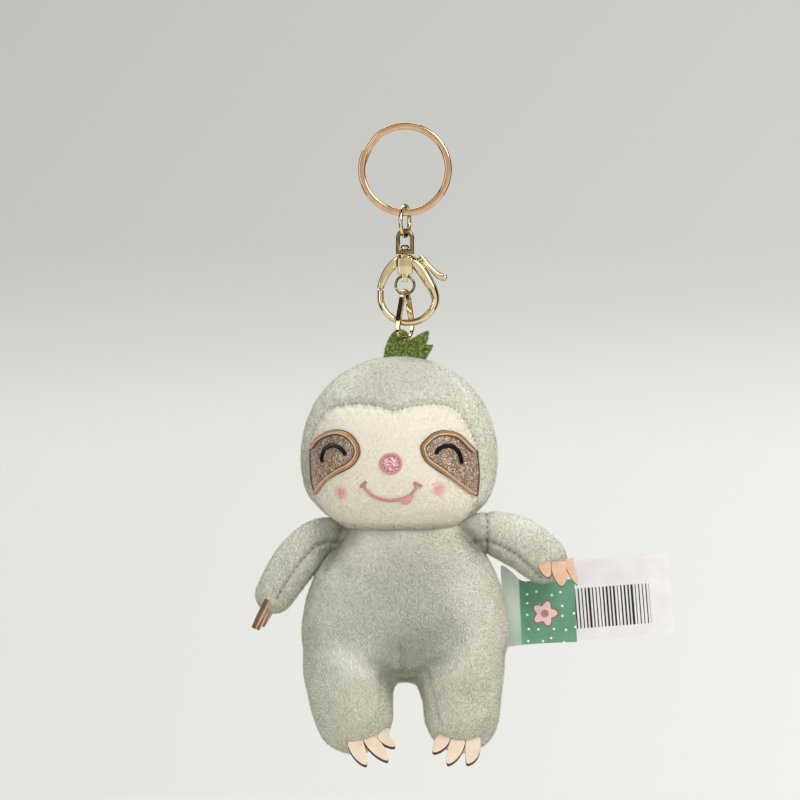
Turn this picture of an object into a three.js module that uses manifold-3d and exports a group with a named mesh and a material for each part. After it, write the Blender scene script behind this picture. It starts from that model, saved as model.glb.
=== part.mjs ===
// Plush sloth on a key ring: a stuffed toy that hangs from a swivel clasp.
// Millimetres, +Z up, the toy's front faces -Y. The origin is the inside top of the key ring,
// where a hook carries it, and every piece is placed downwards from there along the Z axis.

import * as THREE from "three";
import { mergeVertices } from "three/addons/utils/BufferGeometryUtils.js";
import Module from "manifold-3d";

const kernel = await Module();
kernel.setup();

// Play between pieces
const SEAM_GAP = 0.3; // sewn, laid-on or seated pieces
const LINK_PLAY = 0.45; // a ring over the bar it hangs from
const PIN_PLAY = 0.08; // a pin in its hole, on the radius
const SIDE_PLAY = 0.25; // a moving plate beside a fixed one

// Split key ring
const KEY_RING_RADIUS = 15;
const KEY_RING_BAND = 2.2;
const COIL_THICK = 1.25;
const COIL_GAP = 0.12;
const COIL_START = 156; // where the front coil ends, degrees from +X
const COIL_TURN = 683; // degrees from end to end
const COIL_CROSS = [325, 357]; // degrees over which the coil steps from front to back

// Upper jump ring
const JUMP_INNER = 4.2;
const JUMP_WIRE = 1.3;

// Swivel bail and its rivet
const BAIL_WIDTH = 5.8;
const BAIL_HEIGHT = 8.2;
const BAIL_BAR = 1.5;
const BAIL_SIDE = 1.3;
const BAIL_BASE = 1.6;
const BAIL_DEPTH = 3.2;
const RIVET_RADIUS = 0.95;
const RIVET_HEAD = [1.35, 1.1]; // radius, height

// Lobster clasp, drawn from the top of its collar
const HUB_SIDES = [-2.2, 2.4];
const HUB_HEIGHT = 6.2;
const HUB_DEPTH = 3.6;
const HOOK_CENTRE = [0.8, -12.9];
const HOOK_RADIUS = 9.4;
const HOOK_WIRE = [1.45, 1.0]; // radius at the hub and at the nose
const NOSE_ANGLE = 193; // degrees of hook below the spine's side, down and round to the nose
const NOSE_JOINT = [-8.35, -10.6];
const NOSE_SLANT = 65; // degrees that the joint slopes, steeper than the gate's path
const PIVOT = [0.3, -3.4];
const PIN_RADIUS = 0.7;
const GATE_PLATE = 1.3;
const GATE_DISC = 1.8;
const GATE_ARM_DEPTH = 2.2;
const LEVER_PAD_DEPTH = 2.8;
const GATE_SWING = 18; // degrees, inwards
const SPRING_WIRE = 0.26;
const SPRING_RECESS = [1.42, 0.62]; // radius, depth
const SPRING_TURN = 310; // degrees, one open coil
const EYE_DROP = 8.6; // collar to the underside of the eye
const EYE_BAR = 1.0;
const EYE_WIDTH = 2.0;
const EYE_HOLE = 0.85;

// Small ring and pinch bail
const SMALL_INNER = 2.6;
const SMALL_WIRE = 0.9;
const STRAP_THICK = 0.9;
const STRAP_WIDTH = 1.9;
const STRAP_YAW = 60; // degrees between the strap's plane and +X
const STRAP_DROP = 15.2; // top of the strap to the prongs
const STRAP_REACH = 4.5; // each leg from the middle
const PRONG_RADIUS = 0.5;
const PRONG_HOLE = 0.85;
const PRONG_GAP = 0.5;

// Felt leaf on the crown
const LEAF_THICK = 2.0;
const CROWN_DROP = 5.9; // prongs to the top of the head

// Cloth and head
const CLOTH = 1.2;
const HEAD = { side: 31.3, front: 26, up: 31.8, down: 24, fullUp: 2.1, fullDown: 2.6 };
const HEAD_X = -1.8;
const HEAD_TURN = -5; // degrees, towards the viewer's left
const NECK_HOLE = 13;
const PATCH_THICK = 0.8;
const BORDER_WIDTH = 1.6;
const THREAD = 1.1;
const NOSE = [0, -2.5, 4.0, 3.8]; // centre x, z, half width, half height in head axes

// Torso and legs, below the head's centre
const TORSO = { side: 33.4, front: 24, up: 38.5, down: 15, fullUp: 2, fullDown: 2.2 };
const TORSO_SET = [2.0, -57.7]; // x, z from the head's centre
const LEG = { radii: [15, 15.2, 13, 11.4], depths: [1.45, 1.42, 1.24, 0.96] }; // depths: share of the radius
const LEG_LEFT_SPINE = [[-15.2, 0, 6], [-17.6, -0.5, -9], [-17.4, -1.5, -23], [-14.6, -3, -37.6]];
const LEG_RIGHT_SPINE = [[15.2, 0, 6], [17.6, -0.5, -9], [18.3, -1.5, -23], [17.4, -3, -37.6]];

// Arms, from the torso's centre
const ARM_LEFT = {
  spine: [[-20.7, 0, 32.1], [-28.4, 0, 30.5], [-34.5, 0, 24.7], [-41, 0, 15.1], [-44.8, 0, 7.7]],
  radii: [3.5, 6.4, 6.8, 6.2, 5.4],
  depths: [0.95, 0.95],
};
const ARM_RIGHT = {
  spine: [[20.7, 0, 31.8], [27.7, 0, 32.6], [36.7, 0, 30.2], [44.7, 0, 25.4], [50.6, 0, 19.8]],
  radii: [3.5, 6.6, 7.7, 7.5, 6.6],
  depths: [0.92, 0.92],
};

// Claws
const CLAW_THICK = 1.4;
const HAND_CLAW = { length: 7.4, width: 3.6 };
const FOOT_CLAW = { length: 7.4, width: 4.8 };

// Sewn-in label, from the torso's centre
const LABEL_THICK = 0.4;
const LABEL_SEAM = [32.3, 5.5]; // x and y of the sewn edge
const LABEL_FRONT = { // middle: mid-height at the seam; tilt: degrees up, away from the body
  height: 20.3, middle: 6.3, tilt: 2.5, path: [[-1, 0], [2.6, 0.3], [7, 1.8], [22.6, 1.4]],
};
const LABEL_BACK = {
  height: 25.8, middle: 8.4, tilt: 4.6, path: [[-1, 0.75], [2.6, 1.2], [8, 4.2], [24, 6.2], [54, 4.6]],
};

const UP = new THREE.Vector3(0, 0, 1);
const BACK = new THREE.Vector3(0, 1, 0);
const radians = THREE.MathUtils.degToRad;
const flat = ([x, z]) => new THREE.Vector3(x, 0, z);
const vector = (p) => new THREE.Vector3(...p);
const mirror = (points) => points.map(([x, ...rest]) => [-x, ...rest]);

// Solids and geometry

function toSolid(geometry) {
  const bare = geometry.clone();
  bare.deleteAttribute("normal");
  bare.deleteAttribute("uv");
  const welded = mergeVertices(bare, 1e-4);
  const mesh = new kernel.Mesh({
    numProp: 3,
    vertProperties: welded.attributes.position.array,
    triVerts: new Uint32Array(welded.index.array),
  });
  return new kernel.Manifold(mesh);
}

function toGeometry(solid) {
  const mesh = solid.getMesh();
  const geometry = new THREE.BufferGeometry();
  geometry.setAttribute("position", new THREE.BufferAttribute(mesh.vertProperties, 3));
  geometry.setIndex(new THREE.BufferAttribute(mesh.triVerts, 1));
  return geometry;
}

const join = (geometries) => geometries.map(toSolid).reduce((sum, solid) => sum.add(solid));
const cut = (solid, ...tools) => tools.reduce((left, tool) => left.subtract(toSolid(tool)), solid);

// The largest body of a cut piece; slivers behind a neighbour are dropped.
function main(solid) {
  const bodies = solid.decompose();
  return bodies.reduce((best, body) => (body.volume() > best.volume() ? body : best));
}

// A closed skin over rings of points; open ends are closed by a fan to the point given for each.
function loft(rings, ends) {
  const count = rings[0].length;
  const points = rings.flat();
  const triangles = [];
  const bands = ends ? rings.length - 1 : rings.length;
  for (let i = 0; i < bands; i += 1) {
    const here = i * count;
    const next = ((i + 1) % rings.length) * count;
    for (let j = 0; j < count; j += 1) {
      const k = (j + 1) % count;
      triangles.push(here + j, here + k, next + k, here + j, next + k, next + j);
    }
  }
  if (ends) {
    const last = points.length - count;
    for (let j = 0; j < count; j += 1) {
      const k = (j + 1) % count;
      triangles.push(points.length, k, j, points.length + 1, last + j, last + k);
    }
    points.push(...ends);
  }
  const geometry = new THREE.BufferGeometry().setFromPoints(points);
  geometry.setIndex(triangles);
  return geometry;
}

const oval = (u, v, sides) =>
  Array.from({ length: sides }, (_, i) => {
    const turn = (2 * Math.PI * i) / sides;
    return [u * Math.cos(turn), v * Math.sin(turn)];
  });

// A bar's section, half width by half height with its corners taken off.
const bar = (u, v, corner) => [
  [u, v - corner], [u - corner, v], [corner - u, v], [-u, v - corner],
  [-u, corner - v], [corner - u, -v], [u - corner, -v], [u, corner - v],
];

// Carries a section along a path: u across the path, v along the normal of the path's plane.
function sweep(path, steps, normal, sectionAt) {
  const closed = path.closed === true;
  const rings = [];
  for (let i = 0; i < (closed ? steps : steps + 1); i += 1) {
    const t = i / steps;
    const centre = path.getPoint(t);
    const along = path.getTangent(t);
    const across = new THREE.Vector3().crossVectors(normal, along).normalize();
    const over = new THREE.Vector3().crossVectors(along, across);
    const ring = sectionAt(t).map(([u, v]) =>
      centre.clone().addScaledVector(across, u).addScaledVector(over, v));
    rings.push(ring);
  }
  return loft(rings, closed ? null : [path.getPoint(0), path.getPoint(1)]);
}

// A value read off evenly spaced stations, eased between them.
function station(values, t) {
  const place = Math.min(t, 0.9999) * (values.length - 1);
  const low = Math.floor(place);
  return THREE.MathUtils.lerp(values[low], values[low + 1], THREE.MathUtils.smoothstep(place - low, 0, 1));
}

// A stuffed tube along a curve, rounded at both ends; grow swells it all round.
function limb({ spine, radii, depths }, grow = 0, rings = 9, sides = 12) {
  const path = new THREE.CatmullRomCurve3(spine.map(vector));
  const length = path.getLength();
  const place = (distance) => {
    const t = THREE.MathUtils.clamp(distance / length, 0, 1);
    const along = path.getTangentAt(t);
    return { t, along, point: path.getPointAt(t).addScaledVector(along, distance - t * length) };
  };
  const rounding = (distance, radius) =>
    distance < radius ? Math.sqrt(1 - (1 - distance / radius) ** 2) : 1;
  const hoops = [];
  for (let i = 1; i < rings; i += 1) {
    const share = (1 - Math.cos((Math.PI * i) / rings)) / 2;
    const run = share * (length + 2 * grow);
    const { t, along, point } = place(run - grow);
    const end = rounding(run, radii[0] + grow) * rounding(length + 2 * grow - run, radii.at(-1) + grow);
    const across = new THREE.Vector3().crossVectors(BACK, along).normalize();
    const over = new THREE.Vector3().crossVectors(along, across);
    const radius = station(radii, t);
    const hoop = oval((radius + grow) * end, (radius * station(depths, t) + grow) * end, sides);
    hoops.push(hoop.map(([u, v]) =>
      point.clone().addScaledVector(across, u).addScaledVector(over, v)));
  }
  return loft(hoops, [place(-grow).point, place(length + grow).point]);
}

// A stuffed ball with its own reach up and down; fullness 2 is an ellipsoid and more is boxier.
function ball({ side, front, up, down, fullUp, fullDown }, grow = 0, rows = 13, sides = 22) {
  const hoops = [];
  for (let i = 1; i < rows; i += 1) {
    const tilt = Math.PI * (i / rows - 0.5);
    const power = 2 / (tilt > 0 ? fullUp : fullDown);
    const width = Math.cos(tilt) ** power;
    const rise = Math.sign(tilt) * Math.abs(Math.sin(tilt)) ** power;
    const z = rise * ((tilt > 0 ? up : down) + grow);
    hoops.push(oval((side + grow) * width, (front + grow) * width, sides).map(([x, y]) =>
      new THREE.Vector3(x, y, z)));
  }
  return loft(hoops, [new THREE.Vector3(0, 0, -down - grow), new THREE.Vector3(0, 0, up + grow)]);
}

const smoothShape = (points, count) =>
  new THREE.Shape(new THREE.SplineCurve([...points, points[0]].map(([x, z]) =>
    new THREE.Vector2(x, z))).getPoints(count).slice(0, -1));

// An outline drawn in by a distance; points that the corners crowd out are dropped.
function drawnIn(shape, distance) {
  const points = shape.getPoints();
  const sign = THREE.ShapeUtils.isClockWise(points) ? -1 : 1;
  const moved = points.map((point, i) => {
    const before = points.at(i - 1);
    const after = points[(i + 1) % points.length];
    const along = after.clone().sub(before).normalize();
    return new THREE.Vector2(-along.y, along.x).multiplyScalar(sign * distance).add(point);
  });
  const clear = (spot) => points.every((point) => point.distanceTo(spot) > 0.93 * distance);
  return new THREE.Shape(moved.filter(clear));
}

// A flat sheet cut to an outline drawn in X and Z, its thickness along Y.
function plate(shape, thickness, { bevel = 0, grow = 0, segments = 8 } = {}) {
  const edge = bevel || 0.05;
  const depth = thickness - 2 * edge;
  const geometry = new THREE.ExtrudeGeometry(shape, {
    depth,
    bevelThickness: edge,
    bevelSize: bevel,
    bevelOffset: grow - bevel,
    bevelSegments: 1,
    curveSegments: segments,
  });
  return geometry.rotateX(Math.PI / 2).translate(0, depth / 2, 0);
}

const rod = (radius, length, sides = 24) => new THREE.CylinderGeometry(radius, radius, length, sides);
const upright = (radius, length, sides) => rod(radius, length, sides).rotateX(Math.PI / 2);
const crosswise = (radius, length, sides) => rod(radius, length, sides).rotateZ(Math.PI / 2);
const ring = (inner, wire, sides, steps) =>
  new THREE.TorusGeometry(inner + wire / 2, wire / 2, sides, steps);

// Heights down the hanging chain
const keyRingZ = KEY_RING_BAND - KEY_RING_RADIUS;
const rimZ = keyRingZ - KEY_RING_RADIUS + KEY_RING_BAND / 2;
const jumpZ = rimZ + KEY_RING_BAND / 2 + LINK_PLAY - JUMP_INNER;
const bailTop = jumpZ - JUMP_INNER + SIDE_PLAY + BAIL_BAR;
const bailFoot = bailTop - BAIL_HEIGHT;
const claspTop = bailFoot - SIDE_PLAY;
const eyeTop = claspTop - EYE_DROP + EYE_BAR;
const smallZ = eyeTop + LINK_PLAY + 0.1 - SMALL_INNER;
const strapTop = smallZ - SMALL_INNER + LINK_PLAY + STRAP_THICK / 2;
const prongZ = strapTop - STRAP_DROP;
const crownZ = prongZ - CROWN_DROP;
const headZ = crownZ - HEAD.up;
const torso = new THREE.Vector3(HEAD_X + TORSO_SET[0], 0, headZ + TORSO_SET[1]);

const inClasp = (geometry) => geometry.translate(0, 0, claspTop);
const inHead = (geometry) => geometry.rotateZ(radians(HEAD_TURN)).translate(HEAD_X, 0, headZ);
const inTorso = (geometry) => geometry.translate(torso.x, torso.y, torso.z);

// Materials
const finish = (color, roughness, metalness = 0) =>
  new THREE.MeshStandardMaterial({ color, roughness, metalness });
const GOLD = finish(0xe0bd92, 0.22, 1);
const CHAMPAGNE = finish(0xcfae82, 0.26, 1);
const STEEL = finish(0xb9b9b4, 0.35, 1);
const GREY_PLUSH = finish(0x9ba396, 0.95);
const CREAM_PLUSH = finish(0xece6d9, 0.95);
const STUFFING = finish(0xf3f1ea, 1);
const GLITTER_BROWN = finish(0x6a4a3c, 0.5, 0.2);
const COPPER_THREAD = finish(0xb57a4e, 0.5);
const BLACK_THREAD = finish(0x1d1a1b, 0.6);
const GLITTER_PINK = finish(0xe6b2ad, 0.45, 0.2);
const PINK_THREAD = finish(0xdc8e95, 0.55);
const CLAW_HIDE = finish(0xc49a85, 0.45);
const FELT = finish(0x6f9a59, 1);
const LABEL_GREEN = finish(0x58ab66, 0.35);
const LABEL_WHITE = finish(0xf3f4f1, 0.4);

const part = new THREE.Group();
part.name = "plush_sloth_keychain";

function add(name, geometry, material) {
  const mesh = new THREE.Mesh(geometry, material);
  mesh.name = name;
  part.add(mesh);
}

// Split ring: one flat bar wound almost twice, stepping from the front coil to the back one

class SplitRingPath extends THREE.Curve {
  getPoint(t, target = new THREE.Vector3()) {
    const turned = COIL_TURN * t;
    const angle = radians(COIL_START - turned);
    const radius = KEY_RING_RADIUS - KEY_RING_BAND / 2;
    const crossed = THREE.MathUtils.smoothstep(turned, ...COIL_CROSS);
    const y = (crossed - 0.5) * (COIL_THICK + COIL_GAP);
    return target.set(radius * Math.cos(angle), y, keyRingZ + radius * Math.sin(angle));
  }
}
const coilSection = bar(KEY_RING_BAND / 2, COIL_THICK / 2, 0.28);
add("key_ring", sweep(new SplitRingPath(), 56, BACK, () => coilSection), GOLD);

// Jump ring, hanging edge-on in the split ring
const jumpRing = ring(JUMP_INNER, JUMP_WIRE, 8, 22).rotateY(Math.PI / 2);
add("upper_jump_ring", jumpRing.translate(0, 0, jumpZ), GOLD);

// Swivel bail: an arched frame whose base turns on the rivet

function archShape(halfWidth, top, foot) {
  const shape = new THREE.Shape();
  shape.moveTo(-halfWidth, foot);
  shape.lineTo(halfWidth, foot);
  shape.absarc(0, top - halfWidth, halfWidth, 0, Math.PI);
  shape.closePath();
  return shape;
}
const bailShape = archShape(BAIL_WIDTH / 2, bailTop, bailFoot);
bailShape.holes.push(archShape(BAIL_WIDTH / 2 - BAIL_SIDE, bailTop - BAIL_BAR, bailFoot + BAIL_BASE));
const bailFrame = toSolid(plate(bailShape, BAIL_DEPTH, { bevel: 0.35, segments: 10 }));
const rivetHole = upright(RIVET_RADIUS + PIN_PLAY, BAIL_BASE * 3).translate(0, 0, bailFoot);
add("swivel_bail", toGeometry(cut(bailFrame, rivetHole)), CHAMPAGNE);

const rivetFoot = claspTop - HUB_HEIGHT * 0.14;
const rivetSeat = bailFoot + BAIL_BASE + SIDE_PLAY;
const rivetProfile = [
  [0, rivetFoot], [RIVET_RADIUS, rivetFoot], [RIVET_RADIUS, rivetSeat], [RIVET_HEAD[0], rivetSeat],
  [RIVET_HEAD[0], rivetSeat + RIVET_HEAD[1] * 0.5], [RIVET_HEAD[0] * 0.6, rivetSeat + RIVET_HEAD[1]],
  [0, rivetSeat + RIVET_HEAD[1]],
];
const rivet = new THREE.LatheGeometry(rivetProfile.map(([x, y]) => new THREE.Vector2(x, y)), 20);
add("swivel_rivet", toGeometry(toSolid(rivet.rotateX(Math.PI / 2))), CHAMPAGNE);

// Clasp body: forked hub, tapering hook and the eye that carries the small ring

const hookArc = [28, 0, -35, -70, -105, -140, -170, -NOSE_ANGLE].map((degrees) => [
  HOOK_CENTRE[0] + HOOK_RADIUS * Math.cos(radians(degrees)),
  HOOK_CENTRE[1] + HOOK_RADIUS * Math.sin(radians(degrees)),
]);
const hookStart = [[HUB_SIDES[1] - 0.6, -2.0], [HUB_SIDES[1] + 2.6, -4.5]];
const hookPath = new THREE.CatmullRomCurve3([...hookStart, ...hookArc].map(flat));
const hookWire = (t) => THREE.MathUtils.lerp(...HOOK_WIRE, Math.min(1, 1.6 * t));
const hook = sweep(hookPath, 28, BACK, (t) => oval(hookWire(t), hookWire(t), 8));

const boxShape = (left, right, top, foot) =>
  new THREE.Shape([[left, foot], [right, foot], [right, top], [left, top]].map(([x, z]) =>
    new THREE.Vector2(x, z)));
const hub = plate(boxShape(...HUB_SIDES, 0, -HUB_HEIGHT), HUB_DEPTH, { bevel: 0.35 });
const lugDepth = 2 * (EYE_HOLE + 0.8);
const lugShape = boxShape(-EYE_WIDTH / 2, EYE_WIDTH / 2, -HUB_HEIGHT * 0.8, -EYE_DROP);
const lug = plate(lugShape, lugDepth, { bevel: 0.25 });
const eyeHole = crosswise(EYE_HOLE, EYE_WIDTH * 2, 20).translate(0, 0, -EYE_DROP + EYE_BAR + EYE_HOLE);

// Gate and lever turn together on the pin; their thin web runs in the hub's slot.
const armPath = new THREE.CatmullRomCurve3(
  [PIVOT, [-2.4, -3.1], [-5.1, -5.1], [-7.0, -7.7], [-8.4, -10.4], [-8.9, -12]].map(flat));
const leverPath = new THREE.CatmullRomCurve3(
  [PIVOT, [3.4, -1.95], [6.7, -2.7], [9.6, -5.1], [11.3, -7.0], [13.4, -7.5]].map(flat));
const armWidths = [1.6, 1.5, 1.25, 1.0, 0.95, 0.9];
const leverWidths = [1.2, 0.7, 0.75, 0.85, 1.0, 0.8];
const web = GATE_PLATE / 2;

function gateArm(grow) {
  return sweep(armPath, 10, BACK, (t) => {
    const deep = THREE.MathUtils.lerp(web, GATE_ARM_DEPTH / 2, THREE.MathUtils.smoothstep(t, 0.34, 0.46));
    return bar(station(armWidths, t) + grow, deep + grow, 0.3);
  });
}
function gateLever(grow) {
  return sweep(leverPath, 10, BACK, (t) => {
    const deep = THREE.MathUtils.lerp(web, LEVER_PAD_DEPTH / 2, THREE.MathUtils.smoothstep(t, 0.42, 0.6));
    return bar(station(leverWidths, t) + grow, deep + grow, 0.3);
  });
}
const aboutPivot = (geometry, degrees) =>
  geometry.translate(-PIVOT[0], 0, -PIVOT[1]).rotateY(radians(-degrees)).translate(PIVOT[0], 0, PIVOT[1]);
const atPivot = (geometry) => geometry.translate(PIVOT[0], 0, PIVOT[1]);

// A block on one side of the slanted joint between the gate's tip and the hook's nose.
function jointBlock(towards) {
  const reach = 5;
  const block = new THREE.BoxGeometry(reach, 8, 8).translate(towards * (reach + SEAM_GAP) / 2, 0, 0);
  return block.rotateY(radians(NOSE_SLANT - 90)).translate(NOSE_JOINT[0], 0, NOSE_JOINT[1]);
}

const gateRoom = toGeometry(cut(join([gateArm(SIDE_PLAY), gateLever(SIDE_PLAY)]), jointBlock(-1)));
const slotTools = [0, 0.17, 0.34, 0.5, 0.75, 1].map((share) =>
  aboutPivot(gateRoom.clone(), share * GATE_SWING));
const discSlot = atPivot(rod(GATE_DISC + SIDE_PLAY, GATE_PLATE + 2 * SIDE_PLAY, 28));
const pinHole = atPivot(rod(PIN_RADIUS + PIN_PLAY, HUB_DEPTH * 2));
const rivetBore = upright(RIVET_RADIUS + PIN_PLAY, HUB_HEIGHT * 0.4);
const claspBlank = cut(toSolid(hook), jointBlock(1)).add(join([hub, lug]));
const claspBody = cut(claspBlank, eyeHole, discSlot, ...slotTools, pinHole, rivetBore);
add("clasp_body", inClasp(toGeometry(main(claspBody))), CHAMPAGNE);

const disc = atPivot(rod(GATE_DISC, GATE_PLATE, 28));
const recessSet = (GATE_PLATE - SPRING_RECESS[1]) / 2 + 0.01;
const springRecess = atPivot(rod(...SPRING_RECESS, 24)).translate(0, recessSet, 0);
const gate = cut(join([disc, gateArm(0), gateLever(0)]), jointBlock(-1), pinHole, springRecess);
add("clasp_gate", inClasp(toGeometry(main(gate))), CHAMPAGNE);

const gatePin = atPivot(rod(PIN_RADIUS, HUB_DEPTH - 0.1, 20));
add("gate_pin", inClasp(toGeometry(toSolid(gatePin))), STEEL);

class SpringPath extends THREE.Curve {
  getPoint(t, target = new THREE.Vector3()) {
    const angle = radians(40 + SPRING_TURN * t);
    const radius = (PIN_RADIUS + SPRING_RECESS[0]) / 2;
    const low = GATE_PLATE / 2 - SPRING_RECESS[1] + SPRING_WIRE * 0.75;
    const y = low + (SPRING_RECESS[1] - SPRING_WIRE * 1.5) * t;
    return target.set(PIVOT[0] + radius * Math.cos(angle), y, PIVOT[1] + radius * Math.sin(angle));
  }
}
const springSection = oval(SPRING_WIRE / 2, SPRING_WIRE / 2, 6);
add("gate_spring", inClasp(sweep(new SpringPath(), 20, BACK, () => springSection)), STEEL);

// Small ring through the eye, seen face on
const smallRing = ring(SMALL_INNER, SMALL_WIRE, 8, 24).rotateX(Math.PI / 2);
add("small_ring", smallRing.translate(0, 0, smallZ), GOLD);

// Pinch bail: a strap bent over the small ring, its two prongs meeting inside the leaf's hole

const strapHalf = [
  [PRONG_GAP / 2, 0], [STRAP_REACH * 0.55, 0], [STRAP_REACH * 0.93, 1.5], [STRAP_REACH, 4.2],
  [STRAP_REACH * 0.76, 8.6], [STRAP_REACH * 0.5, STRAP_DROP - 2.6], [1.6, STRAP_DROP - 0.75],
];
const strapPoints = [...mirror(strapHalf), [0, STRAP_DROP], ...strapHalf.toReversed()];
const strapPath = new THREE.CatmullRomCurve3(strapPoints.map(flat), false, "centripetal");
const strap = sweep(strapPath, 36, BACK, (t) => {
  const fromTip = Math.min(t, 1 - t);
  const spread = THREE.MathUtils.smoothstep(fromTip, 0.1, 0.22);
  const u = THREE.MathUtils.lerp(PRONG_RADIUS, STRAP_THICK / 2, spread);
  const v = THREE.MathUtils.lerp(PRONG_RADIUS, STRAP_WIDTH / 2, spread);
  return bar(u, v, THREE.MathUtils.lerp(PRONG_RADIUS * 0.58, 0.2, spread));
});
add("pinch_bail", strap.rotateZ(radians(STRAP_YAW)).translate(0, 0, prongZ), GOLD);

// Head: hood and face are one round shell, parted along the face seam

const head = (grow) => ball(HEAD, grow);
const faceHalf = [
  [0, 14.4], [6, 15.4], [12, 16.2], [19.6, 14.4], [24, 8.5], [26.2, 0], [26.5, -8], [25.9, -15],
  [22.5, -22], [16, -27],
];
const faceOutline = [...faceHalf, ...mirror(faceHalf.slice(1)).toReversed()];
const faceShape = smoothShape(faceOutline, 44);
const inFront = (shape, options) => plate(shape, 2 * HEAD.front, options).translate(0, -HEAD.front * 1.08, 0);
const neckHole = upright(NECK_HOLE, HEAD.down, 24).translate(0, 0, -HEAD.down);
const headShell = cut(toSolid(head(0)), head(-CLOTH), neckHole);
const facePanel = headShell.intersect(toSolid(inFront(faceShape)));
const hood = cut(headShell, inFront(faceShape, { grow: SEAM_GAP }));
add("head_skin", inHead(toGeometry(main(hood))), GREY_PLUSH);
add("face_panel", inHead(toGeometry(main(facePanel))), CREAM_PLUSH);
add("head_stuffing", inHead(head(-CLOTH - SEAM_GAP)), STUFFING);

// A layer that hugs the head's front inside an outline, a given height off the cloth.
function layer(lift, thickness, tool) {
  const slab = cut(toSolid(head(lift + thickness)), head(lift));
  return main(slab.intersect(tool));
}

const eyeOutline = [
  [25.6, 1.4], [20.6, 6.6], [15.6, 7.9], [11.2, 6.4], [9.5, 2.2], [10.9, -2.2], [15.6, -5.8],
  [20.6, -9], [25.3, -13], [26, -5.5],
];
const eyeArc = [[13.4, 0.2], [14.6, 2.1], [17.2, 2.9], [19.6, 1.4], [20.9, -1], [21.4, -3]];
const mouthLine = [
  [-9.4, -9.4], [-8.2, -11.4], [-4.6, -13.6], [0, -14.2], [4.6, -13.6], [8.2, -11.4], [9.4, -9.4],
];

// A line of stitching drawn as a band of the given width.
function threadShape(points, width) {
  const curve = new THREE.SplineCurve(points.map(([x, z]) => new THREE.Vector2(x, z)));
  const steps = 3 * (points.length - 1);
  const side = (sign) => Array.from({ length: steps + 1 }, (_, i) => {
    const along = curve.getTangent(i / steps);
    const offset = new THREE.Vector2(-along.y, along.x).multiplyScalar((sign * width) / 2);
    return curve.getPoint(i / steps).add(offset);
  });
  return new THREE.Shape([...side(-1), ...side(1).reverse()]);
}

const onCloth = SEAM_GAP;
const onPatch = onCloth + PATCH_THICK + SEAM_GAP;
for (const [name, turn] of [["left", mirror], ["right", (points) => points]]) {
  const shape = smoothShape(turn(eyeOutline), 26);
  const core = drawnIn(shape, BORDER_WIDTH + SEAM_GAP);
  const patch = layer(onCloth, PATCH_THICK, toSolid(inFront(core)));
  const band = cut(toSolid(inFront(shape)), inFront(core, { grow: SEAM_GAP }));
  add(`eye_patch_${name}`, inHead(toGeometry(patch)), GLITTER_BROWN);
  add(`eye_border_${name}`, inHead(toGeometry(layer(onCloth, THREAD, band))), COPPER_THREAD);
  const arc = toSolid(inFront(threadShape(turn(eyeArc), THREAD)));
  add(`eye_stitch_${name}`, inHead(toGeometry(layer(onPatch, THREAD * 0.6, arc))), BLACK_THREAD);
}

const nosePoints = oval(NOSE[2], NOSE[3], 12).map(([x, z]) => [NOSE[0] + x, NOSE[1] + z]);
const noseShape = smoothShape(nosePoints, 20);
const noseCore = drawnIn(noseShape, THREAD + SEAM_GAP);
const noseRim = cut(toSolid(inFront(noseShape)), inFront(noseCore, { grow: SEAM_GAP }));
const nosePad = layer(onCloth, PATCH_THICK, toSolid(inFront(noseCore)));
add("nose_patch", inHead(toGeometry(nosePad)), GLITTER_PINK);
add("nose_border", inHead(toGeometry(layer(onCloth, THREAD, noseRim))), PINK_THREAD);
const mouth = toSolid(inFront(threadShape(mouthLine, THREAD)));
add("mouth_stitch", inHead(toGeometry(layer(onCloth, THREAD * 0.7, mouth))), PINK_THREAD);

// Leaf: two felt lobes sewn into the crown, the left one holed for the prongs
const leafOutline = [
  [-6.6, -7.2], [-6.1, -3.7], [-5, -0.8], [-3.5, 1.4], [-1.8, 2.3], [0, 2.1], [1.5, 0.9], [1.8, -0.9],
  [1.3, -2.3], [2.4, -0.7], [4, 0.4], [5.8, 1.3], [7.4, 2], [7.1, -0.6], [6.3, -2.9], [8.8, -2.5],
  [7.8, -4.3], [6.2, -7.4],
];
const leafShape = smoothShape(leafOutline, 36);
const leafPlate = plate(leafShape, LEAF_THICK, { bevel: 0.25 }).translate(0, 0, prongZ);
const prongHole = crosswise(PRONG_HOLE, 12, 16).rotateZ(radians(STRAP_YAW)).translate(0, 0, prongZ);
const leaf = cut(toSolid(leafPlate), prongHole, inHead(head(SEAM_GAP)));
add("felt_leaf", toGeometry(main(leaf)), FELT);

// Torso and legs: one sewn skin over one filling, dished where the head sits on it

const legLeft = { ...LEG, spine: LEG_LEFT_SPINE };
const legRight = { ...LEG, spine: LEG_RIGHT_SPINE };
const trunk = (grow) => join([ball(TORSO, grow), limb(legLeft, grow), limb(legRight, grow)]);
const torsoAt = (geometry) => geometry.translate(-torso.x, 0, -torso.z);
const headSeat = torsoAt(inHead(head(SEAM_GAP)));
const shoulderSeats = [ARM_LEFT, ARM_RIGHT].map((arm) => limb(arm, SEAM_GAP));
const outerTrunk = cut(trunk(0), headSeat, ...shoulderSeats);
const bodySkin = outerTrunk.subtract(trunk(-CLOTH));
add("body_skin", inTorso(toGeometry(main(bodySkin))), GREY_PLUSH);
const armRooms = [ARM_LEFT, ARM_RIGHT].map((arm) => limb(arm, SEAM_GAP * 2, 7, 10));
const fillSeats = [torsoAt(inHead(head(SEAM_GAP))), ...armRooms];
const bodyFill = cut(trunk(-CLOTH - SEAM_GAP), ...fillSeats);
add("body_stuffing", inTorso(toGeometry(main(bodyFill))), STUFFING);

// Arms: sewn tubes, open at the shoulder, with a filling and a sheet of claws at the hand

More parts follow.
